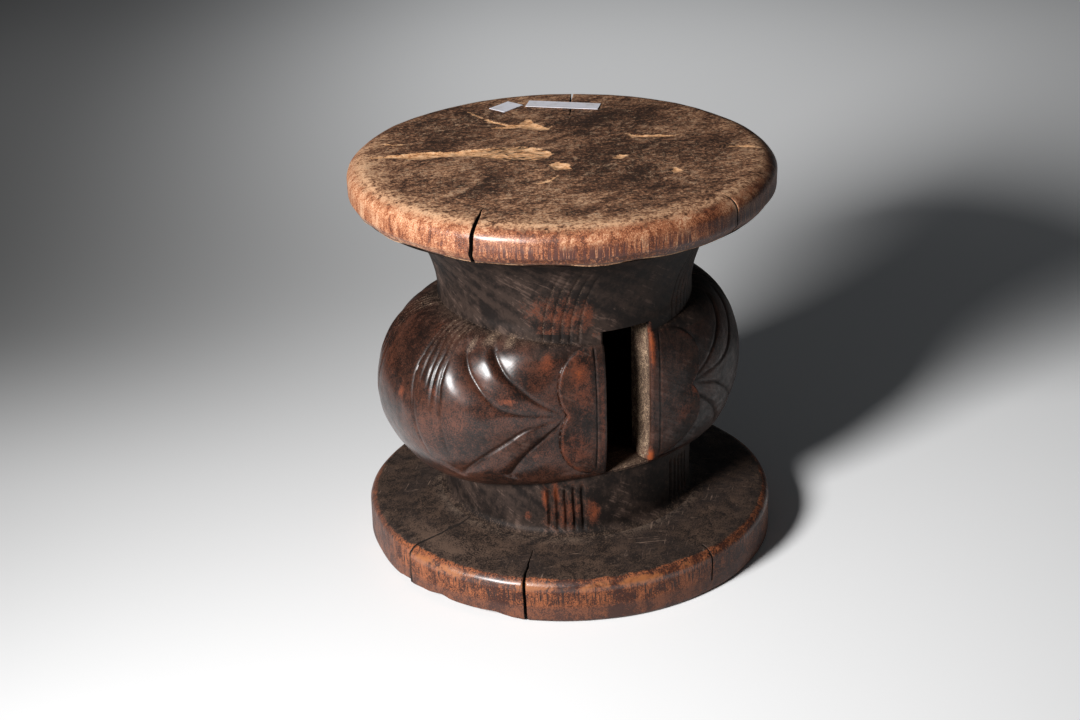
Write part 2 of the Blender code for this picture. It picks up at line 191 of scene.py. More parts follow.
class Finish:
    """A finish in the making: its material and shader, and the values and colours that feed them."""

    def __init__(self, name):
        self.material = bpy.data.materials.new(name)
        self.material.use_nodes = True
        self.tree = self.material.node_tree
        self.shader = self.tree.nodes["Principled BSDF"]

    def feed(self, made, inputs):
        """Joins a node's inputs to values, or sets them."""
        for key, value in inputs.items():
            if isinstance(value, bpy.types.NodeSocket):
                self.tree.links.new(value, made.inputs[key])
            else:
                made.inputs[key].default_value = value

    def node(self, kind, inputs=None, **settings):
        """Adds a shader node and sets it up."""
        made = self.tree.nodes.new(kind)
        for key, value in settings.items():
            setattr(made, key, value)
        self.feed(made, inputs or {})
        return made

    def kept(self, name):
        """A value that the mesh keeps for each vertex."""
        return self.node("ShaderNodeAttribute", attribute_name=name).outputs["Fac"]

    def placed(self, scale, angle=0.0, way="POINT"):
        """The log's own coordinates, scaled, and turned on the level."""
        place = self.node("ShaderNodeTexCoord").outputs["Object"]
        return self.node("ShaderNodeMapping", {"Vector": place, "Rotation": (0, 0, angle), "Scale": scale},
                         vector_type=way).outputs[0]

    def clouds(self, place, scale, detail, roughness, distortion=0.0):
        """Noise from 0 to 1."""
        return self.node("ShaderNodeTexNoise", {
            "Vector": place, "Scale": scale, "Detail": detail, "Roughness": roughness,
            "Distortion": distortion}).outputs[0]

    def speckle(self, stretch, scale, detail=6, roughness=0.6, distortion=0.0):
        """Noise stretched along the log."""
        return self.clouds(self.placed((1, 1, stretch)), scale, detail, roughness, distortion)

    def brushed(self, angle, stretch, scale, detail=4, roughness=0.6, distortion=0.0):
        """Noise drawn out along a direction on the level."""
        place = self.placed((stretch, 1, 1), math.radians(angle), "TEXTURE")
        return self.clouds(place, scale, detail, roughness, distortion)

    def figure(self, operation, value, *others):
        """A sum carried on from value to value."""
        for other in others:
            value = self.node("ShaderNodeMath", {0: value, 1: other}, operation=operation).outputs[0]
        return value

    def swayed(self, value, *sways):
        """A value pushed up and down by noises, each followed by its amount."""
        for other, amount in zip(sways[::2], sways[1::2]):
            push = self.figure("MULTIPLY", self.figure("SUBTRACT", other, 0.5), amount)
            value = self.figure("ADD", value, push)
        return value

    def spread(self, value, low, high, start, end):
        """Goes evenly from start to end while a value goes from low to high."""
        return self.node("ShaderNodeMapRange", {"Value": value, "From Min": low, "From Max": high,
                                                "To Min": start, "To Max": end}).outputs[0]

    def step(self, value, low, high):
        """0 below low, 1 above high, and smooth between."""
        return self.node("ShaderNodeMapRange", {"Value": value, "From Min": low, "From Max": high},
                         interpolation_type="SMOOTHSTEP").outputs[0]

    def mix(self, share, under, colour):
        """Lays a share of a colour over another."""
        under, colour = (c if isinstance(c, bpy.types.NodeSocket) else (*c, 1) for c in (under, colour))
        return self.node("ShaderNodeMix", {0: share, 6: under, 7: colour}, data_type="RGBA").outputs[2]

    def laid(self, under, colour, low, high, value, *sways, share=None):
        """Lays a colour over another where a value, swayed by noises, rises from low to high."""
        there = self.step(self.swayed(value, *sways), low, high)
        if share is not None:
            there = self.figure("MULTIPLY", there, share)
        return self.mix(there, under, colour)

    def done(self, inputs, *bumps):
        """The material, with its shader fed and bumps of (height, strength, distance) laid one on the other."""
        for height, strength, distance in bumps:
            bump = {"Height": height, "Strength": strength, "Distance": distance}
            if "Normal" in inputs:
                bump["Normal"] = inputs["Normal"]
            inputs["Normal"] = self.node("ShaderNodeBump", bump).outputs[0]
        self.feed(self.shader, inputs)
        return self.material


def check_lining():
    """The dark inside of a drying check, with old dirt on raw wood."""
    wood = Finish("check_lining")
    dirt = wood.speckle(0.2, 220)
    colour = wood.laid((0.010, 0.006, 0.004), (0.060, 0.030, 0.016), 0.5, 0.8, dirt)
    return wood.done({"Base Color": colour, "Roughness": 0.9})


def foot_wood():
    """Dusty dark end grain on top with pale scratches, and a red-brown rim with a rubbed lip."""
    wood = Finish("worn_foot")
    rim, lip = wood.kept("rim"), wood.kept("lip")
    fibre = wood.speckle(0.10, 760, 4, 0.6)
    broad = wood.speckle(0.35, 26, 6, 0.65)
    mottle = wood.speckle(1, 85, 9, 0.75, 0.4)
    fine = wood.speckle(1, 900, 5, 0.65)
    hairs = wood.figure("MAXIMUM", wood.brushed(-20, 10, 620, 3), wood.brushed(50, 12, 560, 3))
    top = wood.laid((0.011, 0.007, 0.0055), (0.096, 0.058, 0.040), 0.36, 0.66, mottle, fine, 1.2)
    top = wood.laid(top, (0.022, 0.015, 0.013), 0.40, 0.66, broad, share=0.7)
    top = wood.laid(top, (0.190, 0.125, 0.092), 0.66, 0.78, hairs, broad, 0.5)
    top = wood.laid(top, (0.110, 0.068, 0.048), 0.45, 0.95, wood.kept("bared"), mottle, 1.6, fine, 2.4)
    side = wood.laid((0.042, 0.013, 0.008), (0.330, 0.106, 0.043), 0.32, 0.70, broad, mottle, 1.5, fine, 1.2)
    side = wood.laid(side, (0.030, 0.014, 0.011), 0.50, 0.62, fibre, mottle, 0.4, share=wood.kept("ticked"))
    side = wood.laid(side, (0.074, 0.040, 0.033), 0.3, 0.9, wood.kept("low"), mottle, 0.8, share=0.55)
    side = wood.laid(side, (0.330, 0.120, 0.044), 0.70, 1.40, lip, mottle, 3.4, broad, 2.8)
    colour = wood.laid(top, side, 0.40, 0.62, rim, mottle, 1.0, broad, 0.6)
    colour = wood.laid(colour, (0.140, 0.098, 0.072), 0.44, 0.62, mottle, fine, 0.8, share=wood.kept("dust"))
    smooth = wood.figure("MAXIMUM", lip, wood.figure("MULTIPLY", rim, 0.5))
    gloss = wood.step(wood.swayed(lip, broad, 0.9), 0.15, 0.70)
    return wood.done({
        "Base Color": colour, "Roughness": wood.spread(wood.swayed(smooth, mottle, 0.7), 0.0, 1.0, 0.68, 0.30),
        "Coat Weight": wood.figure("MULTIPLY", gloss, 0.9), "Coat Roughness": 0.30, "Specular IOR Level": 0.3},
        (fibre, 0.30, 0.0005), (mottle, 0.55, 0.0016), (fine, 0.40, 0.0004))


base_profile = [(0, 0)] + line((0, 0), (0.150, 0), 3) + line((0.150, 0), (BASE_RADIUS - BASE_FOOT_ROUND, 0), 8)
lower_round = reversed(arc(BASE_RADIUS, 2 * BASE_FOOT_ROUND, BASE_FOOT_ROUND, 4))
base_profile += [(r, 2 * BASE_FOOT_ROUND - z) for r, z in lower_round][1:]
base_profile += line(base_profile[-1], (BASE_RADIUS, BASE_RIM - BASE_EDGE_ROUND), 18)
base_profile += arc(BASE_RADIUS, BASE_RIM, BASE_EDGE_ROUND, 9)[1:]
base_profile += line(base_profile[-1], (COLLAR_RADIUS + COLLAR_FILLET, COLLAR_FOOT), 34)
base_profile += line(base_profile[-1], (0.080, COLLAR_FOOT), 4) + [(0, COLLAR_FOOT)]
base = turned("foot", base_profile)
points = points_of(base)
azimuth, radius, height = polar(points)
turn = np.degrees(azimuth)
on_rim = ramp(radius, 0.150, 0.162)
hewn = uneven(points, 22, 1.7)
worked = uneven(points, 75, 5.2)
sunk = ramp(turn, -118, -98) * (turn < -78.4)
radius -= on_rim * (HEWN_DEPTH + HEWN_DEPTH * hewn + SUNK_DEPTH * sunk)
on_top = ramp(height, 0.030, 0.036) * ramp(radius, 0.108, 0.118)
height -= on_top * (0.0007 + HEWN_DEPTH * hewn + 0.0003 * worked)
broken = ramp(turn, -96, -70) * ramp(-turn, 36, 54)
broken = BROKEN_HEIGHT * broken * (0.75 + 0.5 * uneven(points, 55, 9.3))
broken += CHIP_HEIGHT * np.clip(uneven(points, 45, 2.2) - 0.15, 0, 1)
missing = np.clip(broken - height, 0, None) * on_rim
radius -= 1.1 * missing
height += 0.35 * missing * (height > 0.0002)
shape(base, around(radius, azimuth, height))
base.data.materials.append(foot_wood())
lining = check_lining()
split(base, "check_left", [(-0.078, -0.014), (-0.105, -0.025), (-0.137, -0.032), (-0.180, -0.039)],
      [0.0004, 0.0012, 0.0018, 0.0024], 0.004, 0.050, 0.02, lining)
split(base, "check_front", [(-0.083, -0.094), (-0.094, -0.108), (-0.104, -0.121), (-0.119, -0.141)],
      [0.0003, 0.0012, 0.0022, 0.0034], -0.01, 0.050, -0.03, lining)
split(base, "check_right", [(0.0395, -0.150), (0.0415, -0.158), (0.0440, -0.166), (0.0475, -0.180)],
      [0.0003, 0.0012, 0.0022, 0.0030], 0.010, 0.050, 0.05, lining)
azimuth, radius, height = polar(points_of(base))
turn = np.degrees(azimuth)
handled = 0.35 + 0.65 * ramp(turn, -84, -68) * (1 - ramp(turn, -10, 15))
masks(base, rim=np.maximum(ramp(radius, 0.157, 0.1675), ramp(0.034 - height, 0.0, 0.003)),
      low=np.maximum(1 - ramp(height, 0.008, 0.022), 0.75 * ramp(-turn, 74, 92)),
      ticked=ramp(height, 0.012, 0.020),
      lip=handled * ramp(height, 0.024, 0.031) * ramp(radius, 0.1625, 0.1665),
      bared=np.exp(-((turn + 72) / 22) ** 2 - ((radius - 0.146) / 0.016) ** 2),
      dust=0.9 - 0.9 * ramp(radius, 0.104, 0.118))
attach(base, "root")
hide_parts("base_slab")


# The collar: the plain stem between the foot and the lobes, with groups of five upright grooves cut below
# the plates and a hollow fillet where it grows out of the foot. Its top spreads into the undersides of the
# lobes, and inside the slots it ends in a dusty sill.
SLOT_HALF = 0.0205
SLOT_SILL = 0.096
SLOT_LINTEL = 0.217
NECK_RADIUS = 0.103
SEAT_RADIUS = 0.170
SEAT_UNDERSIDE = 0.297
FLARE_HEIGHT = 0.081
FLARE_RADIUS = 0.163
BULB_NARROW = 0.1045
BULB_SQUARENESS = 2.5
LEFT_LOBE_REACH = 0.158
RIGHT_LOBE_REACH = 0.146
BULB_WIDEST = 0.148
TOP_CREASE_AT_SLOT, TOP_CREASE_RISE = 0.207, 0.0097
LOW_CREASE_AT_SLOT, LOW_CREASE_DROP = 0.094, 0.014
GROOVE_GROUPS = np.radians([-29.3, 34.5, 150.7, 214.5])
GROOVE_PITCH = 0.007
GROOVE_HALF = 0.0014
GROOVE_DEPTH = 0.0010
GROOVE_LEAN = math.radians(8.5)
GROOVE_LEAN_FROM, GROOVE_LEAN_OVER = 0.212, 0.061
COLLAR_GROOVE_DEPTH = 0.0022
RING_STEPS = 900
RING_INSETS = (0.012, 0.012, 0.02, 0.06, 0.16)
SPOT_RADIUS = 0.115
# worn patches: middle in degrees, height, width and height of each, and how far it is worn
WORN_SPOTS = (
    (-84.0, 0.1650, 0.004, 0.007, 1.10), (-81.2, 0.2125, 0.007, 0.004, 0.60), (-48.3, 0.1705, 0.009, 0.004, 1.00),
    (-35.0, 0.1970, 0.007, 0.011, 0.85), (-63.8, 0.1520, 0.024, 0.010, 0.45), (-70.7, 0.1755, 0.008, 0.014, 0.60),
    (-22.2, 0.1850, 0.009, 0.015, 0.62), (-20.3, 0.1685, 0.010, 0.020, 0.45), (-23.7, 0.1256, 0.012, 0.016, 0.50),
    (-38.0, 0.1230, 0.014, 0.009, 0.50), (12.0, 0.1950, 0.003, 0.018, 1.10), (11.6, 0.1000, 0.003, 0.007, 1.10),
    (26.9, 0.1310, 0.008, 0.010, 0.55), (33.1, 0.1480, 0.010, 0.008, 0.50), (-12.6, 0.1440, 0.004, 0.050, 0.40),
    (-43.6, 0.2350, 0.010, 0.014, 0.50), (-33.0, 0.2190, 0.022, 0.007, 0.34), (-29.8, 0.2320, 0.020, 0.016, 0.40),
    (-16.7, 0.2330, 0.009, 0.016, 0.50), (-46.9, 0.0560, 0.005, 0.006, 0.70), (-38.6, 0.0740, 0.003, 0.010, 0.75),
    (-33.6, 0.0780, 0.003, 0.010, 0.75), (-29.0, 0.0600, 0.018, 0.014, 0.35), (-16.2, 0.0600, 0.006, 0.014, 0.75))
# places where the polish has gone, in the same way
DULL_SPOTS = ((-43.0, 0.1350, 0.026, 0.014, 0.50), (-76.0, 0.1840, 0.026, 0.022, 0.26))
# clods of dust in the crease under the neck: middle in degrees, height and width
CLODS = ((-58.5, 0.2125, 0.007), (-50.5, 0.2120, 0.007), (-64.4, 0.2096, 0.003), (125, 0.213, 0.006))
CLOD_HEIGHT = 0.0045
CREASE_DUST = 0.004
TOOL_MARK_RADIUS = 0.0154
SILL_DIP = 0.0016


def top_crease(azimuth):
    """Height at which a lobe's shoulder meets the neck."""
    return TOP_CREASE_AT_SLOT + TOP_CREASE_RISE * np.sin(azimuth) ** 2


def low_crease(azimuth):
    """Height at which the underside of a lobe meets the collar."""
    return LOW_CREASE_AT_SLOT - LOW_CREASE_DROP * np.sin(azimuth) ** 2


def stem(height):
    """Radius of the turned line: fillet and collar, neck, and a flare under the seat."""
    rise = np.clip((height - COLLAR_FOOT) / (SLOT_LINTEL - COLLAR_FOOT), 0, 1)
    radius = COLLAR_RADIUS + (NECK_RADIUS - COLLAR_RADIUS) * rise
    drop = np.clip(COLLAR_FILLET - (height - COLLAR_FOOT), 0, COLLAR_FILLET)
    radius = radius + COLLAR_FILLET - np.sqrt(COLLAR_FILLET ** 2 - drop ** 2)
    share = np.clip((height - SEAT_UNDERSIDE + FLARE_HEIGHT) / FLARE_HEIGHT, 0, 1)
    return radius + (FLARE_RADIUS - radius) * (1 - np.sqrt(1 - share ** 2))


def swell(azimuth, height):
    """How far a lobe has come out of the stem, from 0 at its creases to 1 at its widest."""
    crease = np.where(height > BULB_WIDEST, top_crease(azimuth), low_crease(azimuth))
    share = np.clip((height - BULB_WIDEST) / (crease - BULB_WIDEST), 0, 1)
    return np.sqrt(1 - share ** 2)


def waist(azimuth, height):
    """Radius of the waist before its carving."""
    reach = np.where(np.sin(azimuth) > 0, RIGHT_LOBE_REACH, LEFT_LOBE_REACH)
    to_slot = (np.abs(np.cos(azimuth)) / BULB_NARROW) ** BULB_SQUARENESS
    to_lobe = (np.abs(np.sin(azimuth)) / reach) ** BULB_SQUARENESS
    oval = (to_slot + to_lobe) ** (-1 / BULB_SQUARENESS)
    return stem(height) + np.clip(oval - stem(height), 0, None) * swell(azimuth, height)


def turn_between(azimuth, centre):
    """Angle from a centre, the short way round."""
    return (azimuth - centre + math.pi) % math.tau - math.pi


def hatching(azimuth, height):
    """Depth of the upright grooves, which lean over more and more as they run up into the flare."""
    veer = GROOVE_LEAN * (np.clip(height - GROOVE_LEAN_FROM, 0, None) / GROOVE_LEAN_OVER) ** 2
    half = np.where(height > BULB_WIDEST, GROOVE_HALF, 1.45 * GROOVE_HALF)
    depth = np.zeros_like(azimuth)
    for group in GROOVE_GROUPS:
        across = turn_between(azimuth - veer, group) * NECK_RADIUS
        across = across + 0.0005 * np.sin(95 * height + 40 * across)
        number = np.clip(np.round(across / GROOVE_PITCH), -2, 2)
        valley = np.clip(1 - np.abs(across - number * GROOVE_PITCH) / half, 0, 1)
        depth = np.maximum(depth, valley ** 0.8)
    crease = low_crease(azimuth)
    on_neck = ramp(height, 0.208, 0.213) * (1 - ramp(height, 0.262, 0.289))
    on_collar = ramp(height, 0.043, 0.052) * (1 - ramp(height, crease - 0.012, crease - 0.004))
    return depth * (on_neck + on_collar)


def hatched(azimuth):
    """1 on the patch that a group of grooves covers."""
    patch = np.zeros_like(azimuth)
    for group in GROOVE_GROUPS:
        across = np.abs(turn_between(azimuth, group)) * NECK_RADIUS
        patch = np.maximum(patch, 1 - ramp(across, 0.016, 0.026))
    return patch


def ring(name, rows):
    """A closed drum of unit radius and height, cut into rows, with ring cuts on its ends."""
    bpy.ops.object.select_all(action="DESELECT")
    bpy.ops.mesh.primitive_cylinder_add(vertices=RING_STEPS, radius=1, depth=1, location=(0, 0, 0.5))
    piece = begun(name)
    bpy.ops.mesh.select_mode(type="EDGE")
    bpy.ops.mesh.select_all(action="DESELECT")
    bpy.ops.object.mode_set(mode="OBJECT")
    for edge in piece.data.edges:
        first, second = (piece.data.vertices[i].co for i in edge.vertices)
        edge.select = abs(first.z - second.z) > 0.5
    bpy.ops.object.mode_set(mode="EDIT")
    bpy.ops.mesh.subdivide(number_cuts=rows - 1)
    bpy.ops.mesh.select_mode(type="FACE")
    bpy.ops.mesh.select_all(action="DESELECT")
    bpy.ops.object.mode_set(mode="OBJECT")
    for face in piece.data.polygons:
        face.select = abs(face.normal.z) > 0.5
    bpy.ops.object.mode_set(mode="EDIT")
    for thickness in RING_INSETS:
        bpy.ops.mesh.inset(thickness=thickness, use_boundary=True)
    bpy.ops.object.mode_set(mode="OBJECT")
    return piece


def carved_wood(name):
    """Dark oiled wood: blotched, polished on the swells, rubbed red-brown where hands reach, and darkened with
    painted shade along its valleys.
    """
    wood = Finish(name)
    polish, dust = wood.kept("polish"), wood.kept("dust")
    hewn = wood.node("ShaderNodeAttribute", attribute_name="hewn").outputs["Vector"]
    marks = wood.clouds(hewn, 420, 5, 0.65)
    cuts = wood.clouds(hewn, 110, 5, 0.6)
    grain = wood.speckle(0.15, 420, 5, 0.65)
    cloudy = wood.speckle(0.8, 36, 7, 0.65)
    patchy = wood.speckle(0.8, 170, 9, 0.78, 0.4)
    fine = wood.speckle(1, 1000, 4, 0.65)
    blotched = wood.swayed(cloudy, patchy, 1.0)
    bare = wood.laid((0.009, 0.006, 0.005), (0.036, 0.023, 0.018), 0.32, 0.68, blotched, cuts, 0.8)
    bare = wood.laid(bare, (0.105, 0.068, 0.054), 0.59, 0.70, marks, patchy, 0.4, cloudy, 0.8, share=0.6)
    oiled = wood.laid((0.007, 0.003, 0.002), (0.086, 0.027, 0.014), 0.28, 0.78, blotched, fine, 1.5)
    colour = wood.mix(polish, bare, oiled)
    rubbed = wood.swayed(wood.kept("worn"), patchy, 1.7, cloudy, 0.6, fine, 1.2)
    colour = wood.laid(colour, (0.125, 0.036, 0.018), 0.42, 0.95, rubbed)
    colour = wood.laid(colour, (0.260, 0.062, 0.020), 0.85, 1.30, rubbed)
    colour = wood.laid(colour, (0.008, 0.005, 0.004), 0.56, 0.72, grain, share=0.6)
    # painted shade: the valley mask takes the colour nearly to black along the carved lines, the collar's grooves
    # and the foot of the plates' raised edges; on the neck the same mask draws the check as a dark line
    valley = wood.figure("MULTIPLY", wood.kept("valley"), 0.8)
    colour = wood.mix(valley, colour, (0.006, 0.004, 0.003))
    settled = wood.swayed(dust, patchy, 1.4, fine, 2.4)
    colour = wood.laid(colour, (0.105, 0.068, 0.048), 0.40, 0.95, settled)
    colour = wood.laid(colour, (0.400, 0.275, 0.180), 1.00, 1.30, settled)
    gloss = wood.figure("SUBTRACT", wood.swayed(polish, patchy, 0.6, marks, 0.5), dust)
    return wood.done({
        "Base Color": colour, "Roughness": wood.spread(gloss, 0.0, 1.1, 0.62, 0.34),
        "Coat Weight": wood.spread(gloss, 0.40, 1.05, 0.0, 1.0), "Coat Roughness": 0.27,
        "Specular IOR Level": 0.16},
        (cuts, 0.20, 0.0010), (marks, 0.30, 0.0005), (grain, 0.15, 0.0003), (patchy, 0.24, 0.0006),
        (fine, 0.30, 0.0002))


def spot(azimuth, height, middle, level, wide, tall):
    """A soft patch on the waist, 1 at its middle."""
    across = turn_between(azimuth, middle) * SPOT_RADIUS
    return np.exp(-(across / wide) ** 2 - ((height - level) / tall) ** 2)


def finish_waist(piece, azimuth, height, extra_dust=0.0, extra_worn=0.0, valley=0.0, dulled=0.0):
    """Keeps the waist's masks of polish, wear, dust and valleys (painted shade) on a piece, and the lie of its
    tool marks.
    """
    worn = np.zeros_like(azimuth)
    for middle, level, wide, tall, strength in WORN_SPOTS:
        for half_turn in (0, math.pi):
            patch = spot(azimuth, height, math.radians(middle) + half_turn, level, wide, tall)
            worn = np.maximum(worn, strength * patch)
    crease = np.exp(-np.abs(height - top_crease(azimuth)) / CREASE_DUST)
    crease *= np.clip(np.abs(np.sin(azimuth)) * 1.6, 0, 1)
    crease = np.maximum(crease, 0.8 * np.exp(-np.clip(height - COLLAR_FOOT, 0, None) / CREASE_DUST))
    clods = np.zeros_like(azimuth)
    for middle, level, wide in CLODS:
        clods = np.maximum(clods, spot(azimuth, height, math.radians(middle), level, wide, CLOD_HEIGHT))
    # the right of the front is duller than the rest
    turn = np.degrees(turn_between(azimuth, 0))
    dulled = dulled + 0.45 * ramp(turn, 15, 45) * (1 - ramp(turn, 120, 150))
    for middle, level, wide, tall, share in DULL_SPOTS:
        dulled = dulled + share * spot(azimuth, height, math.radians(middle), level, wide, tall)
    plain = 1 - 0.6 * hatched(azimuth) * (height > 0.2)
    masks(piece, polish=np.sqrt(swell(azimuth, height)) * plain - dulled,
          worn=np.clip(worn + extra_worn, 0, 1.2),
          dust=np.clip(np.maximum(0.52 * crease, 0.95 * clods) + extra_dust, 0, 1.3),
          valley=np.clip(valley + np.zeros_like(azimuth), 0, 1))
    # tool marks fall to the right over the left of the front, and turn about on the lobes
    sloping = 0.87 * height - 0.055 * np.abs(turn_between(azimuth, math.radians(45)))
    layer = piece.data.attributes.new("hewn", "FLOAT_VECTOR", "POINT")
    layer.data.foreach_set("vector", around(TOOL_MARK_RADIUS, azimuth, sloping).astype(np.float32).ravel())


collar = ring("collar", 60)
azimuth, share, rise = polar(points_of(collar))
upper = np.clip((rise - 0.6) / 0.4, 0, 1)
height = COLLAR_FOOT + (low_crease(azimuth) - COLLAR_FOOT) * np.clip(rise / 0.6, 0, 1)
height = height + (SLOT_SILL - low_crease(azimuth)) * upper ** 2
skin = around(waist(azimuth, height), azimuth, height)
radius = waist(azimuth, height) - COLLAR_GROOVE_DEPTH * hatching(azimuth, height)
free = ramp(height, 0.043, 0.050) * (1 - ramp(height, 0.090, 0.0955))
radius -= (0.0004 + 0.0005 * uneven(skin, 40, 6.1)) * free
radius *= share
in_slot = 1 - ramp(np.abs(radius * np.sin(azimuth)), SLOT_HALF - 0.004, SLOT_HALF)
height -= SILL_DIP * in_slot * ramp(share, 0.955, 1.0) * (rise > 0.999)
shape(collar, around(radius, azimuth, height))
collar.data.materials.append(carved_wood("collar_wood"))
# the valley mask darkens the grooves with painted shade
finish_waist(collar, azimuth, height, extra_dust=0.16 + 0.65 * (rise > 0.985) * in_slot,
             extra_worn=0.10 + 0.26 * hatched(azimuth), valley=0.75 * hatching(azimuth, height))
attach(collar, "root")
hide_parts("lower_waist")


# The lobes: the two great swellings on either side of the slots, carved as leaves that spring from the
# cusps of the plates and lap one over the next, with a fan of gouged lines on each side of the lobe's middle.
# They are one with the log, hollowed out behind, and polished by handling.
STRIP_WIDTH = 0.008
PLATE_ROOT = SLOT_HALF + STRIP_WIDTH
PLATE_RAISE = 0.0034
UPPER_BOW, UPPER_BOW_HALF = 0.174, 0.034
LOWER_BOW, LOWER_BOW_HALF = 0.132, 0.035
NARROW_BOW_REACH = 0.031
WIDE_BOW_REACH = 0.041
HOLLOW_TO_SLOT = 0.074
HOLLOW_TO_LOBE = 0.090
CUSP_ANGLES = {NARROW_BOW_REACH: 29.4, WIDE_BOW_REACH: 31.3}
BOLDNESS = {NARROW_BOW_REACH: 1.0, WIDE_BOW_REACH: 0.28}
# the lines between leaves run from the cusp of a narrow plate, as angles from the slot and heights; each has
# the breadths over which the leaf above it and the leaf below it round down to it, a depth, and the shares of
# its length between which it grows to that depth
LEAF_LINES = (
    (((29.8, 0.1500), (30.8, 0.1455), (35.5, 0.1377), (42.4, 0.1250), (47.2, 0.1113), (50.0, 0.1020)),
     0.008, 0.018, 0.0030, 0.10, 0.60),
    (((30.2, 0.1530), (37.0, 0.1497), (43.5, 0.1447), (47.6, 0.1377), (53.8, 0.1270), (62.2, 0.1101),
      (66.0, 0.1010)), 0.028, 0.010, 0.0034, 0.10, 0.60),
    (((30.4, 0.1545), (35.3, 0.1567), (43.3, 0.1592), (50.7, 0.1638), (55.7, 0.1754), (59.2, 0.1846),
      (62.4, 0.1941), (66.9, 0.2120)), 0.034, 0.016, 0.0066, 0.28, 0.78),
    (((30.2, 0.1560), (37.4, 0.1662), (42.3, 0.1753), (45.6, 0.1821), (50.1, 0.1908), (53.0, 0.1996),
      (57.0, 0.2110)), 0.026, 0.012, 0.0062, 0.28, 0.80))
# the fan's five gouged lines, from the shoulder down
FAN_LINES = (
    ((70.0, 0.2155), (68.9, 0.2006), (69.2, 0.1850), (68.5, 0.1680), (67.9, 0.1550), (66.7, 0.1315),
     (65.8, 0.1120)),
    ((72.9, 0.2155), (70.9, 0.2029), (71.9, 0.1906), (71.0, 0.1600)),
    ((75.3, 0.2155), (73.6, 0.2028), (73.6, 0.1920), (73.3, 0.1740)),
    ((77.4, 0.2155), (76.2, 0.2036), (76.4, 0.1948), (76.0, 0.1760)),
    ((80.0, 0.2155), (78.4, 0.2103), (79.0, 0.1977), (79.6, 0.1869), (79.0, 0.1738), (78.0, 0.1617),
     (76.4, 0.1422), (73.3, 0.1160)))
FAN_HALF = 0.0011
FAN_DEPTH = 0.0012
CREASE_HALF = 0.0012
CREASE_DEPTH = 0.0010
UNROLLED = 0.125
LEAF_SINK = 0.0014
STRIP_GROOVE_DEPTH = 0.0011
CORNER_WEAR = 0.0013
LOBE_CELLS = (320, 130, 1)


def bow(height, reach):
    """Distance of a plate's outer edge from the middle of its slot: the further of its two bows."""
    first = 1 - ((height - UPPER_BOW) / UPPER_BOW_HALF) ** 2
    second = 1 - ((height - LOWER_BOW) / LOWER_BOW_HALF) ** 2
    return PLATE_ROOT + reach * np.sqrt(np.clip(np.maximum(first, second), 0, None))


def angle_at(across, slot, side, height, raised=0.0):
    """Angle from a slot's axis of the point on the waist at a distance across from its middle."""
    angle = np.zeros_like(height)
    for _ in range(6):
        angle = np.arcsin(across / (waist(slot + side * angle, height) + raised))
    return angle


def near(along, height, path):
    """Distance to a path on the unrolled waist, the side of it, and how far along it is, from 0 to 1."""
    best = np.full_like(along, 1.0)
    turn = np.zeros_like(along)
    share = np.zeros_like(along)
    for i, (start, end) in enumerate(zip(path, path[1:])):
        run, rise = end[0] - start[0], end[1] - start[1]
        length = run * run + rise * rise
        part = np.clip(((along - start[0]) * run + (height - start[1]) * rise) / length, 0, 1)
        gap_along = along - start[0] - part * run
        gap_up = height - start[1] - part * rise
        gap = np.hypot(gap_along, gap_up)
        closer = gap < best
        best = np.where(closer, gap, best)
        turn = np.where(closer, np.sign(run * gap_up - rise * gap_along), turn)
        share = np.where(closer, (i + part) / (len(path) - 1), share)
    return best, turn, share


def drawn(corners, reach):
    """A line's path on the unrolled waist, its corners eased, on the lobe beside a plate of this reach."""
    path = np.array(corners, float)
    for _ in range(2):
        cut = np.stack([0.75 * path[:-1] + 0.25 * path[1:], 0.25 * path[:-1] + 0.75 * path[1:]], axis=1)
        path = np.concatenate([path[:1], cut.reshape(-1, 2), path[-1:]])
    narrow, cusp = CUSP_ANGLES[NARROW_BOW_REACH], CUSP_ANGLES[reach]
    angle = np.radians(cusp + (path[:, 0] - narrow) * (90 - cusp) / (90 - narrow))
    return list(zip(angle * UNROLLED, path[:, 1]))


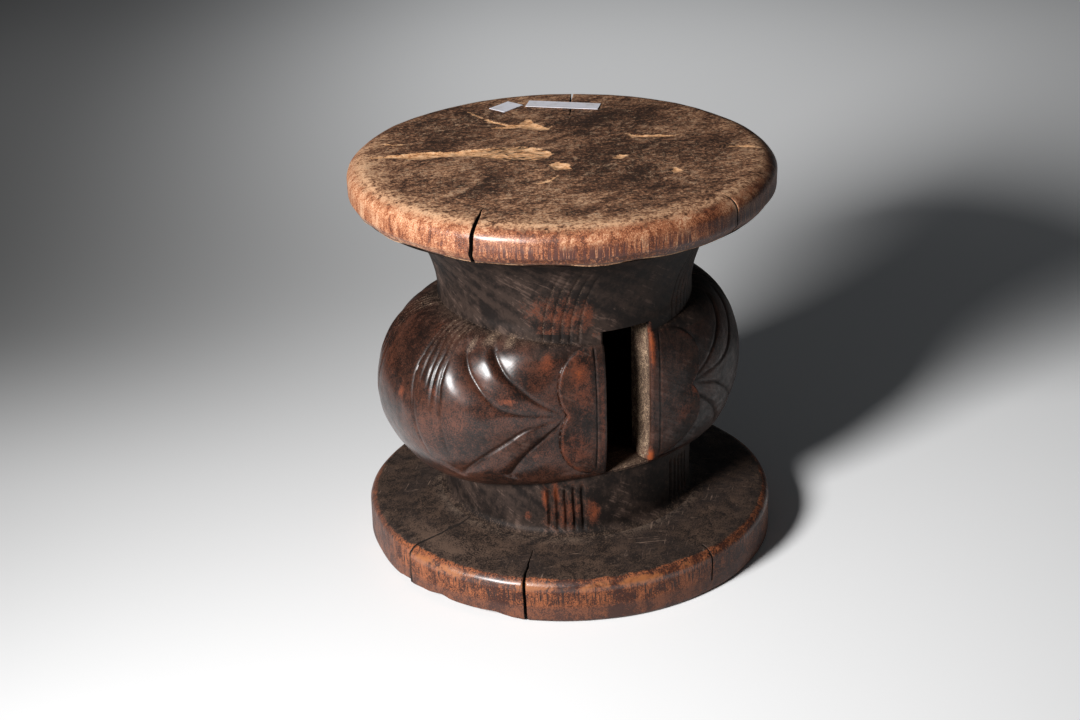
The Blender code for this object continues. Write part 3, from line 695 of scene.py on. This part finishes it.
def carving(azimuth, height):
    """The relief over the plain waist, with the painted shade of its valleys, the plates' edges and the fans'
    ridges.
    """
    high, valley, edge, ridge = (np.zeros_like(azimuth) for _ in range(4))
    base = waist(azimuth, height)
    levels = np.linspace(0.090, 0.217, 80)
    for slot in (0, math.pi):
        for side, reach in ((-1, NARROW_BOW_REACH), (1, WIDE_BOW_REACH)):
            angle = side * turn_between(azimuth, slot)
            mine = (angle >= 0) & (angle < math.pi / 2)
            if not mine.any():
                continue
            a, h, r = angle[mine], height[mine], base[mine]
            out = np.sqrt(swell(slot + side * a, h))
            # the plate, raised inside its bows, and the leaves sunk a little beside it
            outline_angle = angle_at(bow(levels, reach), slot, side, levels)
            outline = list(zip(outline_angle * waist(slot + side * outline_angle, levels), levels))
            gap, _, _ = near(a * r, h, outline)
            inside = a < angle_at(bow(h, reach), slot, side, h)
            signed = np.where(inside, gap, -gap)
            standing = np.sqrt(swell(slot + 0 * h, h))
            climb = np.clip((signed + 0.0002) / 0.0034, 0, 1)
            lift = PLATE_RAISE * standing * np.sqrt(1 - (1 - climb) ** 2)
            sink = -LEAF_SINK * np.exp(np.clip(signed, None, 0) / 0.006) * standing
            # the leaves, each rounding down to the lines beside it
            sunk, dark, lit = (np.zeros_like(a) for _ in range(3))
            for corners, above, below, depth, starts, grown in LEAF_LINES:
                away, turn, share = near(a * UNROLLED, h, drawn(corners, reach))
                breadth = np.where(turn > 0, above, below) * np.clip(0.25 + 1.9 * share, 0, 1)
                fade = np.clip((1 - share) / 0.10, 0, 1)
                clear = ramp(share, 0.05, 0.40)
                left = np.clip(1 - np.hypot(away, 0.0006) / breadth, 0, 1)
                pillow = BOLDNESS[reach] * depth * ramp(share, starts, grown) * left ** 2
                crease = CREASE_DEPTH * (0.35 + 0.65 * clear) * np.exp(-(away / CREASE_HALF) ** 2)
                sunk += (fade * (pillow + crease)) ** 3
                dark = np.maximum(dark, (0.5 + 0.4 * clear) * fade * np.exp(-away / 0.0010))
            for corners in FAN_LINES:
                away, _, share = near(a * UNROLLED, h, drawn(corners, reach))
                fade = np.clip((1 - share) / 0.35, 0, 1) * np.clip(share / 0.04, 0, 1)
                sunk += (FAN_DEPTH * fade * np.exp(-(away / FAN_HALF) ** 2)) ** 3
                dark = np.maximum(dark, 0.6 * fade * np.exp(-away / 0.0010))
                lit = np.maximum(lit, fade * np.exp(-((away - 0.0018) / 0.0007) ** 2))
            low = -np.cbrt(sunk) * out
            # the line beside the strip, and the slot's worn corner
            groove_angle = angle_at(PLATE_ROOT + 0.0006, slot, side, h, PLATE_RAISE * standing)
            groove = np.abs(a - groove_angle) * r
            run = ramp(h, 0.099, 0.104) * (1 - ramp(h, 0.203, 0.207))
            strip = -STRIP_GROOVE_DEPTH * np.exp(-(groove / 0.0009) ** 2) * run
            corner = angle_at(SLOT_HALF, slot, side, h, PLATE_RAISE * standing)
            worn_corner = -CORNER_WEAR * np.clip(1 - (a - corner) * r / 0.0022, 0, 1) ** 2
            high[mine] = np.where(inside, lift, low) + sink + strip + worn_corner
            # painted shade: dark along the leaves' lines and the fans' lines, at the foot of the plate's raised
            # edge, and in the line beside the strip
            dark = np.where(inside, 0, np.maximum(dark, 0.5 * np.exp(signed / 0.0016) * out))
            valley[mine] = np.maximum(dark, 0.6 * run * np.exp(-groove / 0.0008))
            ridge[mine] = np.where(inside, 0, lit)
            edge[mine] = inside * np.exp(-((signed - 0.0024) / 0.0018) ** 2) * standing
    return high, valley, edge, ridge


def wall_height(share, azimuth):
    """Heights up the wall, closer together towards the shoulder, then over the crease to the lintel."""
    crease = top_crease(azimuth) - 0.0002
    below = SLOT_SILL + (BULB_WIDEST - SLOT_SILL) * np.clip(share / 0.42, 0, 1)
    middle = (crease - BULB_WIDEST) * np.sin(math.pi / 2 * np.clip((share - 0.42) / 0.50, 0, 1))
    above = (SLOT_LINTEL - crease) * np.clip((share - 0.92) / 0.08, 0, 1)
    return below + middle + above


def hollow(turn, height):
    """Points on the wall of the oval hollow."""
    return np.stack([HOLLOW_TO_LOBE * np.sin(turn), -HOLLOW_TO_SLOT * np.cos(turn), height], axis=1)


def lifted(azimuth, height, lift):
    """Radii and heights of points lifted off the waist, square to its slope on the shoulder."""
    slope = (waist(azimuth, height + 0.0004) - waist(azimuth, height - 0.0004)) / 0.0008
    slope = np.clip(slope, -5, 0) * ramp(height, 0.150, 0.165)
    length = np.sqrt(1 + slope ** 2)
    return waist(azimuth, height) + lift / length, height - lift * slope / length


def hewing(azimuth, height, scale):
    """Depth of the adze's unevenness on the waist."""
    skin = around(waist(azimuth, height), azimuth, height)
    return 0.0006 + 0.0006 * uneven(skin, scale, 4.4) + 0.0003 * uneven(skin, 90, 7.7)


def carved_skin(azimuth, height):
    """Points of the carved outside, with the painted shade of its valleys, the plates' edges and the fans' ridges.
    """
    high, valley, edge, ridge = carving(azimuth, height)
    radius, level = lifted(azimuth, height, high)
    radius -= GROOVE_DEPTH * hatching(azimuth, height)
    radius -= hewing(azimuth, height, 32) * swell(azimuth, height) * ramp(height, 0.0965, 0.102)
    return around(radius, azimuth, level), valley, edge, ridge


def lobe(name, middle, node_name, wood):
    """Bends a block into a lobe's wall, from one plate to the next, and carves it."""
    piece = block(name, *LOBE_CELLS)
    unit = points_of(piece)
    first, last = middle - math.pi / 2, middle + math.pi / 2
    azimuth = first + math.radians(25) + math.radians(130) * unit[:, 0]
    for _ in range(4):
        height = wall_height(unit[:, 1], azimuth)
        start = first + angle_at(bow(height, WIDE_BOW_REACH), first, 1, height)
        end = last - angle_at(bow(height, NARROW_BOW_REACH), last, -1, height)
        azimuth = start + (end - start) * unit[:, 0]
    outer, valley, _, ridge = carved_skin(azimuth, height)
    start = first + np.arcsin(bow(height, WIDE_BOW_REACH) / HOLLOW_TO_LOBE)
    end = last - np.arcsin(bow(height, NARROW_BOW_REACH) / HOLLOW_TO_LOBE)
    inner = hollow(start + (end - start) * unit[:, 0], height)
    shape(piece, np.where(unit[:, 2:] < 0.5, outer, inner))
    piece.data.materials.append(wood)
    dust = 0.35 * valley * ramp(0.20 - height, 0.0, 0.06) + 0.2 * hatching(azimuth, height)
    finish_waist(piece, azimuth, height, valley=valley,
                 extra_dust=dust + 0.50 * ridge * ramp(height, 0.180, 0.204))
    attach(piece, "root")
    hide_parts(node_name)


polished_wood = carved_wood("polished_lobes")
lobe("right_lobe", math.pi / 2, "lobe_right", polished_wood)
lobe("left_lobe", -math.pi / 2, "lobe_left", polished_wood)


# The plates: a jamb on each side of each slot, left standing a little proud of the leaves, with an outer edge
# of two bows that meet in a cusp and a line gouged down beside a plain strip. Hands have rubbed them red.
SILL_SPREAD = 0.0035
JAMB_CELLS = (72, 130, 10)


def jamb(name, slot, side, reach, node_name, wood):
    """Bends a block into one jamb: its carved face outside, the slot's wall, and the hollow behind."""
    piece = block(name, *JAMB_CELLS)
    unit = points_of(piece)
    azimuth = np.full(len(unit), slot + side * math.radians(20))
    for _ in range(4):
        height = wall_height(unit[:, 1], azimuth)
        raised = PLATE_RAISE * np.sqrt(swell(np.full(len(unit), slot), height))
        corner = angle_at(SLOT_HALF, slot, side, height, raised)
        border = angle_at(bow(height, reach), slot, side, height)
        azimuth = slot + side * (corner + (border - corner) * unit[:, 0])
    outer, valley, edge, _ = carved_skin(azimuth, height)
    across = SLOT_HALF + (bow(height, reach) - SLOT_HALF) * unit[:, 0]
    inner = hollow(slot + side * np.arcsin(np.clip(across / HOLLOW_TO_LOBE, -1, 1)), height)
    place = outer + (inner - outer) * unit[:, 2:]
    in_slot = (unit[:, 0] < 0.001) * np.sin(math.pi * np.clip(unit[:, 2] * 1.2, 0, 1))
    rough_cut = 0.0006 + 0.0009 * uneven(place, 60, 2.9) + 0.0004 * uneven(place, 220, 5.5)
    spread = SILL_SPREAD * (1 - ramp(height, 0.096, 0.118))
    place[:, 0] += side * math.cos(slot) * in_slot * (rough_cut - spread)
    shape(piece, place)
    piece.data.materials.append(wood)
    wall = (unit[:, 0] < 0.001) * ramp(unit[:, 2], 0.04, 0.12)
    finish_waist(piece, azimuth, height, extra_dust=wall, extra_worn=0.30 * edge + 0.26,
                 valley=valley * (unit[:, 2] < 0.05), dulled=0.35)
    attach(piece, "root")
    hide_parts(node_name)


rubbed_wood = carved_wood("rubbed_plates")
jamb("front_right_jamb", 0, 1, WIDE_BOW_REACH, "plate_front_right", rubbed_wood)
jamb("front_left_jamb", 0, -1, NARROW_BOW_REACH, "plate_front_left", rubbed_wood)
jamb("back_left_jamb", math.pi, 1, WIDE_BOW_REACH, "plate_back_left", rubbed_wood)
jamb("back_right_jamb", math.pi, -1, NARROW_BOW_REACH, "plate_back_right", rubbed_wood)


# The neck: the stem over the slots, which flares out in a hollow curve to carry the seat. The grooves of the
# collar come again above each plate and lean over into the flare, and a check from the seat runs down into it.
CRACK_HALF = 0.0014

neck = ring("neck", 70)
azimuth, share, rise = polar(points_of(neck))
climb = np.arcsin((SLOT_LINTEL - SEAT_UNDERSIDE + FLARE_HEIGHT) / FLARE_HEIGHT)
climb = climb + (math.pi / 2 - climb) * rise
height = SEAT_UNDERSIDE - FLARE_HEIGHT + FLARE_HEIGHT * np.sin(climb)
radius = waist(azimuth, height) - GROOVE_DEPTH * 0.8 * hatching(azimuth, height)
radius -= hewing(azimuth, height, 30) * ramp(height, 0.2175, 0.224)
shape(neck, around(radius * share, azimuth, height))
neck.data.materials.append(carved_wood("neck_wood"))
azimuth, _, height = polar(points_of(neck))
crack = np.abs(turn_between(azimuth, np.radians(-59 + 9 * (height - 0.270) / 0.027))) * UNROLLED
crack = np.clip(1 - crack / CRACK_HALF, 0, 1) * ramp(height, 0.268, 0.280)
in_patch = hatched(azimuth)
finish_waist(neck, azimuth, height, extra_dust=0.40 * hatching(azimuth, height) + 0.16 * in_patch,
             extra_worn=0.36 * in_patch * (1 - ramp(height, 0.244, 0.280)), valley=crack)
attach(neck, "root")
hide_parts("upper_waist")


# The seat: a disc across the end of the log, rounded by use at its upper edge and a little narrower below.
# Its top is scuffed brown end grain with raw tan splits, its rim worn to orange wood with upright grain,
# and drying checks run in from the rim, one of them gaping.
STOOL_HEIGHT = 0.328
SEAT_EDGE_ACROSS, SEAT_EDGE_DOWN = 0.017, 0.0115
SEAT_TAPER_IN = 0.0055
SEAT_TAPER_HEIGHT = 0.009
SPLIT_DEPTH = 0.0011
FRAYED_HEIGHT = 0.0032
CHECK_LOW, CHECK_HIGH = 0.280, 0.340
# raw splits on the top: corners of each
SPLITS = (
    ((-0.1361, 0.0704), (-0.1104, 0.0644), (-0.0964, 0.0629), (-0.0734, 0.0502), (-0.0485, 0.0434),
     (-0.0313, 0.0370), (-0.0160, 0.0319), (-0.0070, 0.0148), (-0.0061, 0.0028), (-0.0139, -0.0036),
     (-0.0248, -0.0025), (-0.0448, 0.0099), (-0.0641, 0.0330), (-0.0859, 0.0422), (-0.1045, 0.0467),
     (-0.1152, 0.0575)),
    ((-0.0169, 0.1391), (-0.0110, 0.1054), (-0.0036, 0.0869), (0.0047, 0.0833), (-0.0057, 0.0827),
     (-0.0140, 0.1011)),
    ((-0.0218, 0.0890), (-0.0075, 0.0847), (0.0047, 0.0833), (0.0168, 0.0944), (0.0180, 0.0858), (0.0158, 0.0779),
     (0.0199, 0.0646), (0.0260, 0.0639), (0.0183, 0.0580), (0.0079, 0.0645), (0.0012, 0.0747), (-0.0104, 0.0789)),
    ((-0.0209, -0.0187), (-0.0114, -0.0160), (-0.0070, -0.0273), (-0.0101, -0.0363), (-0.0217, -0.0318)),
    ((0.0685, 0.0178), (0.0708, 0.0119), (0.0899, 0.0000), (0.1037, -0.0115), (0.0867, -0.0054), (0.0676, 0.0064)),
    ((0.1172, -0.0505), (0.1339, -0.0580), (0.1440, -0.0700), (0.1306, -0.0632)),
    ((0.0295, -0.0304), (0.0382, -0.0245), (0.0424, -0.0299), (0.0337, -0.0357)),
    ((0.0537, -0.0783), (0.0606, -0.0743), (0.0609, -0.0827), (0.0535, -0.0862)),
    ((-0.1164, 0.0984), (-0.1063, 0.0936), (-0.0970, 0.0849), (-0.1079, 0.0899)),
    ((-0.0488, -0.0524), (-0.0375, -0.0488), (-0.0268, -0.0448), (-0.0390, -0.0532)))
# patches dark with use: middle and size
DARKENED = ((-0.085, -0.028, 0.026), (0.013, -0.040, 0.035), (0.034, -0.068, 0.030), (0.064, -0.029, 0.040),
            (0.067, 0.050, 0.040), (-0.020, 0.112, 0.028), (-0.057, 0.105, 0.028))


def tones(wood, value, *stops):
    """Colours by value, from (value, colour) stops."""
    made = wood.node("ShaderNodeValToRGB", {"Fac": value})
    points = made.color_ramp.elements
    while len(points) < len(stops):
        points.new(0.5)
    for point, (place, colour) in zip(points, stops):
        point.position = place
        point.color = (*colour, 1)
    return made.outputs["Color"]


def scratch(wood, angle, scale, width):
    """Thin wandering lines along a direction on the level."""
    wander = wood.figure("SUBTRACT", wood.brushed(angle, 5, scale, 3, 0.55, 0.5), 0.5)
    gap = wood.node("ShaderNodeMath", {0: wander}, operation="ABSOLUTE").outputs[0]
    return wood.figure("SUBTRACT", 1.0, wood.step(gap, 0.0, width))


def seat_wood():
    """Scuffed brown end grain full of pale fibres, raw tan splits, and a rim worn to tan and orange."""
    wood = Finish("worn_seat")
    rim = wood.kept("rim")
    cloudy = wood.brushed(24, 1.8, 30, 9, 0.74, 0.8)
    mottle = wood.speckle(1, 150, 9, 0.78, 0.5)
    grit = wood.speckle(1, 430, 4, 0.70, 0.3)
    fuzz = wood.brushed(-22, 3.0, 270, 7, 0.78, 0.6)
    fine = wood.speckle(1, 1100, 4, 0.65)
    fibre = wood.speckle(0.05, 520, 5, 0.65)
    broad = wood.speckle(0.3, 34, 6, 0.65)
    upright = wood.speckle(0.16, 210, 7, 0.72, 0.4)
    scuffed = wood.swayed(0.43, cloudy, 1.9, fuzz, 2.1, grit, 2.4)
    # paler towards the seat's edge, strongest at the front and left: partly painted highlight where the rounded
    # edge faces the lamp, partly wear
    paling = wood.figure("MULTIPLY", wood.kept("paling"), wood.step(mottle, 0.30, 0.66), 0.62)
    darkened = wood.figure("MULTIPLY", wood.kept("darkened"), 0.27)
    scuffed = wood.figure("SUBTRACT", wood.figure("ADD", scuffed, paling), darkened)
    top = tones(wood, scuffed, (0.08, (0.034, 0.016, 0.009)), (0.34, (0.128, 0.056, 0.030)),
                (0.54, (0.250, 0.116, 0.061)), (0.76, (0.460, 0.238, 0.128)), (0.98, (0.720, 0.420, 0.240)))
    hairs = wood.figure("MAXIMUM", scratch(wood, -36, 150, 0.028), scratch(wood, 10, 170, 0.025),
                        scratch(wood, 66, 160, 0.022))
    top = wood.laid(top, (0.620, 0.400, 0.250), 0.48, 0.60, mottle, cloudy, 0.6,
                    share=wood.figure("MULTIPLY", hairs, 0.85))
    rubbed = wood.swayed(0.37, mottle, 1.3, upright, 1.9, broad, 1.9, fine, 2.0)
    rubbed = wood.figure("ADD", rubbed, wood.figure("MULTIPLY", wood.kept("pale"), 0.28))
    side = tones(wood, rubbed, (0.08, (0.085, 0.028, 0.017)), (0.36, (0.270, 0.088, 0.040)),
                 (0.58, (0.440, 0.178, 0.086)), (0.92, (0.640, 0.375, 0.225)))
    side = wood.laid(side, (0.092, 0.036, 0.028), 0.47, 0.53, fibre, broad, 0.6, mottle, 0.2,
                     share=wood.kept("striped"))
    # darker along the seat's lower edge and round its back
    side = wood.laid(side, (0.095, 0.048, 0.034), 0.45, 1.0, wood.kept("grimy"), mottle, 1.2)
    colour = wood.laid(top, side, 0.25, 0.85, rim, mottle, 2.0, fuzz, 1.6)
    bare = tones(wood, wood.swayed(0.5, fuzz, 2.4, grit, 1.6), (0.14, (0.330, 0.130, 0.052)),
                 (0.40, (0.800, 0.400, 0.180)), (0.74, (0.980, 0.600, 0.340)))
    colour = wood.laid(colour, bare, 0.44, 0.54, wood.kept("raw"), mottle, 2.0, fuzz, 1.2)
    cracked = wood.figure("MAXIMUM", scratch(wood, -24, 95, 0.034), scratch(wood, -50, 120, 0.030))
    cracked = wood.figure("MULTIPLY", cracked, wood.kept("cracked"))
    colour = wood.mix(cracked, colour, (0.012, 0.008, 0.006))
    sheen = wood.swayed(wood.kept("sheen"), mottle, 1.4, broad, 1.0)
    return wood.done({
        "Base Color": colour,
        "Roughness": wood.spread(wood.swayed(rim, mottle, 0.8, fuzz, 0.6), 0.1, 1.0, 0.72, 0.32),
        "Coat Weight": wood.step(sheen, 0.30, 0.95), "Coat Roughness": 0.34, "Specular IOR Level": 0.35},
        (fibre, 0.35, 0.0006), (mottle, 0.40, 0.0010), (fuzz, 0.50, 0.0008), (grit, 0.50, 0.0005))


def into(points, corners):
    """How far points lie inside an outline on the level, and less than 0 outside it."""
    x, y = points[:, 0], points[:, 1]
    gap = np.full(len(points), 1.0)
    inside = np.zeros(len(points), bool)
    for (x0, y0), (x1, y1) in zip(corners, corners[1:] + corners[:1]):
        run, rise = x1 - x0, y1 - y0
        part = np.clip(((x - x0) * run + (y - y0) * rise) / (run * run + rise * rise), 0, 1)
        gap = np.minimum(gap, np.hypot(x - x0 - part * run, y - y0 - part * rise))
        crosses = (y0 > y) != (y1 > y)
        level = np.where(crosses, y, y0)
        inside ^= crosses & (x < x0 + (level - y0) / (rise if rise else 1) * run)
    return np.where(inside, gap, -gap)


def into_splits(points):
    """How far points lie inside the nearest raw split."""
    return np.max([into(points, corners) for corners in SPLITS], axis=0)


seat_profile = [(0, SEAT_UNDERSIDE)] + line((0, SEAT_UNDERSIDE), (0.140, SEAT_UNDERSIDE), 2)
seat_profile += line((0.140, SEAT_UNDERSIDE), (SEAT_RADIUS - SEAT_TAPER_IN, SEAT_UNDERSIDE), 6)
seat_profile += line(seat_profile[-1], (SEAT_RADIUS, SEAT_UNDERSIDE + SEAT_TAPER_HEIGHT), 6)
seat_profile += line(seat_profile[-1], (SEAT_RADIUS, STOOL_HEIGHT - SEAT_EDGE_DOWN), 4)
for turn in np.linspace(0, math.pi / 2, 19)[1:]:
    seat_profile.append((SEAT_RADIUS - SEAT_EDGE_ACROSS * (1 - math.cos(turn)),
                         STOOL_HEIGHT - SEAT_EDGE_DOWN * (1 - math.sin(turn))))
seat_profile += line(seat_profile[-1], (0.004, STOOL_HEIGHT), 100) + [(0, STOOL_HEIGHT)]
seat = turned("seat", seat_profile)
points = points_of(seat)
azimuth, radius, height = polar(points)
level = height.copy()
hewn = uneven(points, 20, 3.3)
worked = uneven(points, 80, 1.9)
radius -= ramp(radius, 0.150, 0.163) * (HEWN_DEPTH + HEWN_DEPTH * hewn + 0.0002 * worked)
height -= ramp(level, 0.318, 0.326) * (0.0005 + 0.0004 * hewn + 0.00012 * worked)
torn = ramp(into_splits(points), -0.001, 0.004) * (level > 0.3275)
height -= SPLIT_DEPTH * torn * (0.7 + 0.6 * uneven(points, 160, 6.6))
frayed = (1 - ramp(level, 0.298, 0.306)) * ramp(radius, 0.158, 0.163)
height += FRAYED_HEIGHT * frayed * np.clip(0.3 + uneven(points, 24, 8.8), 0, 1)
shape(seat, around(radius, azimuth, height))
seat.data.materials.append(seat_wood())
split(seat, "check_gaping", [(-0.1056, -0.0774), (-0.1150, -0.0905), (-0.1230, -0.1020), (-0.1450, -0.1185)],
      [0.0003, 0.0017, 0.0030, 0.0042], CHECK_LOW, CHECK_HIGH, 0.05, lining)
split(seat, "check_right", [(0.0560, -0.1400), (0.0598, -0.1450), (0.0640, -0.1540), (0.0690, -0.1700)],
      [0.0002, 0.0007, 0.0013, 0.0017], CHECK_LOW, CHECK_HIGH, 0.0, lining)
split(seat, "check_back", [(0.0520, 0.0830), (0.0600, 0.0960), (0.0710, 0.1180), (0.0950, 0.1560)],
      [0.0003, 0.0010, 0.0014, 0.0020], CHECK_LOW, CHECK_HIGH, 0.0, lining)
points = points_of(seat)
azimuth, radius, height = polar(points)
turn = np.degrees(azimuth)
# front weights the paler ring by the edge: partly painted highlight on the side facing the lamp, partly wear
front = ramp(turn, -150, -112) * (1 - 0.75 * ramp(turn, 20, 60)) * (1.25 - 0.40 * ramp(turn, -95, -70))
sides = np.maximum(1 - ramp(turn, -68, -44), ramp(turn, 60, 90))
darkened = [np.exp(-np.hypot(points[:, 0] - x, points[:, 1] - y) ** 2 / size ** 2) for x, y, size in DARKENED]
sheen = np.exp(-((turn + 42) / 13) ** 2) * ramp(radius, 0.158, 0.164) * ramp(height, 0.306, 0.313)
masks(seat, rim=ramp(radius, 0.154, 0.169) * (height > 0.2985),
      paling=ramp(radius, 0.130, 0.163) * (0.15 + front),
      pale=0.8 * sides + 0.35 * ramp(height, 0.312, 0.322),
      striped=(1 - ramp(height, 0.310, 0.319)) * (0.15 + 0.85 * ramp(turn, -58, -40)),
      # darker along the lower edge and round the back
      grimy=1.1 * (1 - ramp(height, 0.2985, 0.3025)) + 0.5 * (np.abs(turn) > 100),
      darkened=np.max(darkened, axis=0),
      sheen=sheen,
      raw=ramp(into_splits(points), -0.004, 0.004) * (height > 0.320),
      cracked=ramp(into(points, SPLITS[0]), -0.010, 0.002) * ramp(points[:, 0], -0.062, -0.040))
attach(seat, "root")
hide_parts("seat_slab")


# The stickers: a small tag and a longer strip of aged white paper, pasted flat on the seat near its rim.
# They are cut by hand, so their edges are a little ragged, and those edges have begun to curl.
PAPER_BED = 0.3278
PAPER_THICKNESS = 0.00035
PAPER_RAGGED = 0.0005
PAPER_CURL = 0.00025
PAPER_CELLS = (48, 16, 1)


def aged_paper():
    """Thin paper, a little grubby, with its fibres showing."""
    sheet = Finish("grubby_paper")
    grime = sheet.speckle(1, 90, 6, 0.65)
    fibres = sheet.speckle(1, 1400, 3, 0.6)
    colour = sheet.laid((0.860, 0.850, 0.920), (0.620, 0.560, 0.530), 0.45, 0.80, grime)
    colour = sheet.laid(colour, (0.740, 0.720, 0.760), 0.60, 0.80, fibres)
    return sheet.done({"Base Color": colour, "Roughness": 0.75}, (fibres, 0.15, 0.0001))


def sticker(name, length, width, radius, azimuth, turn, node_name, paper):
    """A sheet with slightly ragged edges, lying where it was stuck."""
    piece = block(name, *PAPER_CELLS)
    unit = points_of(piece)
    rim = np.maximum(np.abs(unit[:, 0] - 0.5), np.abs(unit[:, 1] - 0.5)) * 2
    flat = np.stack([(unit[:, 0] - 0.5) * length, (unit[:, 1] - 0.5) * width, 0 * unit[:, 2]], axis=1)
    ragged = PAPER_RAGGED * np.abs(uneven(flat, 300, 1.1)) * ramp(rim, 0.9, 1.0)
    flat[:, 0] -= np.sign(flat[:, 0]) * ragged
    flat[:, 1] -= np.sign(flat[:, 1]) * ragged
    c, s = math.cos(turn), math.sin(turn)
    x = radius * math.sin(azimuth) + c * flat[:, 0] - s * flat[:, 1]
    y = -radius * math.cos(azimuth) + s * flat[:, 0] + c * flat[:, 1]
    curl = PAPER_CURL * ramp(rim, 0.5, 1.0) * (0.5 + 0.5 * uneven(flat, 60, 4.0))
    shape(piece, np.stack([x, y, PAPER_BED + PAPER_THICKNESS * unit[:, 2] + curl], axis=1))
    piece.data.materials.append(paper)
    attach(piece, "root")
    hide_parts(node_name)


paper = aged_paper()
sticker("tag", 0.024, 0.017, SEAT_RADIUS - 0.0390, math.radians(172.9), math.radians(22), "paper_tag", paper)
sticker("strip", 0.062, 0.016, SEAT_RADIUS - 0.0458, math.radians(151.4), math.radians(-39.5), "paper_strip",
        paper)


# The setting: a pale studio floor that the camera sees brighter than the stool does, one soft lamp low at the
# front left with a narrow beam, a faint fill, and the camera at the photograph's viewing angle.
CAMERA_AZIMUTH = math.radians(-27.5)
CAMERA_RISE = math.radians(24.3)
CAMERA_ROLL = math.radians(-1.375)
CAMERA_FAR = 1.7
CAMERA_AIM = 0.16
FLOOR_SIZE = 30
FLOOR_FELT = 0.36
LAMP_TURN = CAMERA_AZIMUTH + math.radians(-38)
LAMP_FAR = 1.45
LAMP_HEIGHT = 0.84
LAMP_AIM = 0.15
bpy.ops.object.select_all(action="DESELECT")
bpy.ops.mesh.primitive_plane_add(size=FLOOR_SIZE, location=(0, 0, 0))
floor = bpy.context.object
floor.name = "studio_floor"
grey = Finish("studio_grey")
axes = grey.node("ShaderNodeSeparateXYZ", {"Vector": grey.placed((1, 1, 1), CAMERA_AZIMUTH, "TEXTURE")})
rightwards, backwards = axes.outputs[0], axes.outputs[1]
# painted light and shade on the floor: the tone seen by the camera is brighter to the right and far back, and
# darker towards the back left
tone = grey.figure("ADD", grey.figure("MULTIPLY", rightwards, 0.60), 0.96)
dimming = grey.figure("MULTIPLY", grey.step(rightwards, -0.3, 1.0), -2.2)
further = grey.figure("MULTIPLY", grey.step(backwards, 0.45, 1.60), grey.figure("ADD", dimming, 2.4))
leftwards = grey.step(grey.figure("MULTIPLY", rightwards, -1.0), 0.05, 0.75)
# gloom: painted shade towards the back left
gloom = grey.figure("MULTIPLY", grey.step(backwards, 0.05, 0.45), leftwards, 0.64)
tone = grey.figure("MULTIPLY", tone, grey.figure("ADD", further, 1.0), grey.figure("SUBTRACT", 1.0, gloom))
tone = grey.figure("MAXIMUM", tone, 0.1)
path = grey.node("ShaderNodeLightPath").outputs
seen = grey.figure("MAXIMUM", path["Is Camera Ray"], path["Is Glossy Ray"], path["Is Transmission Ray"])
seen_tone = grey.node("ShaderNodeCombineXYZ", {0: tone, 1: tone, 2: tone}).outputs[0]
paint = grey.node("ShaderNodeBsdfDiffuse", {"Color": grey.mix(seen, (FLOOR_FELT,) * 3, seen_tone)})
grey.tree.nodes.remove(grey.shader)
grey.feed(grey.tree.nodes["Material Output"], {"Surface": paint.outputs[0]})
floor.data.materials.append(grey.material)

world = bpy.data.worlds.new("studio")
bpy.context.scene.world = world
world.use_nodes = True
back = world.node_tree.nodes["Background"]
back.inputs["Color"].default_value = (0.90, 0.95, 1.0, 1)
back.inputs["Strength"].default_value = 0.035

bpy.ops.object.light_add(type="AREA")
lamp = bpy.context.object
lamp.name = "soft_lamp"
lamp.data.shape = "DISK"
lamp.data.size = 0.45
lamp.data.energy = 16
lamp.data.spread = math.radians(110)
lamp.location = (LAMP_FAR * math.sin(LAMP_TURN), -LAMP_FAR * math.cos(LAMP_TURN), LAMP_HEIGHT)
lamp.rotation_euler = (math.pi / 2 - math.atan2(LAMP_HEIGHT - LAMP_AIM, LAMP_FAR), 0, LAMP_TURN)

bpy.ops.object.camera_add()
camera = bpy.context.object
camera.data.lens = 69
camera.data.sensor_width = 36
camera.data.shift_x = -0.0242
camera.data.shift_y = -0.0117
camera.location = (CAMERA_FAR * math.sin(CAMERA_AZIMUTH) * math.cos(CAMERA_RISE),
                   -CAMERA_FAR * math.cos(CAMERA_AZIMUTH) * math.cos(CAMERA_RISE),
                   CAMERA_AIM + CAMERA_FAR * math.sin(CAMERA_RISE))
camera.rotation_euler = (math.pi / 2 - CAMERA_RISE, 0, CAMERA_AZIMUTH)
camera.rotation_euler.rotate_axis("Z", CAMERA_ROLL)
bpy.context.scene.camera = camera
bpy.context.scene.view_settings.view_transform = "Standard"
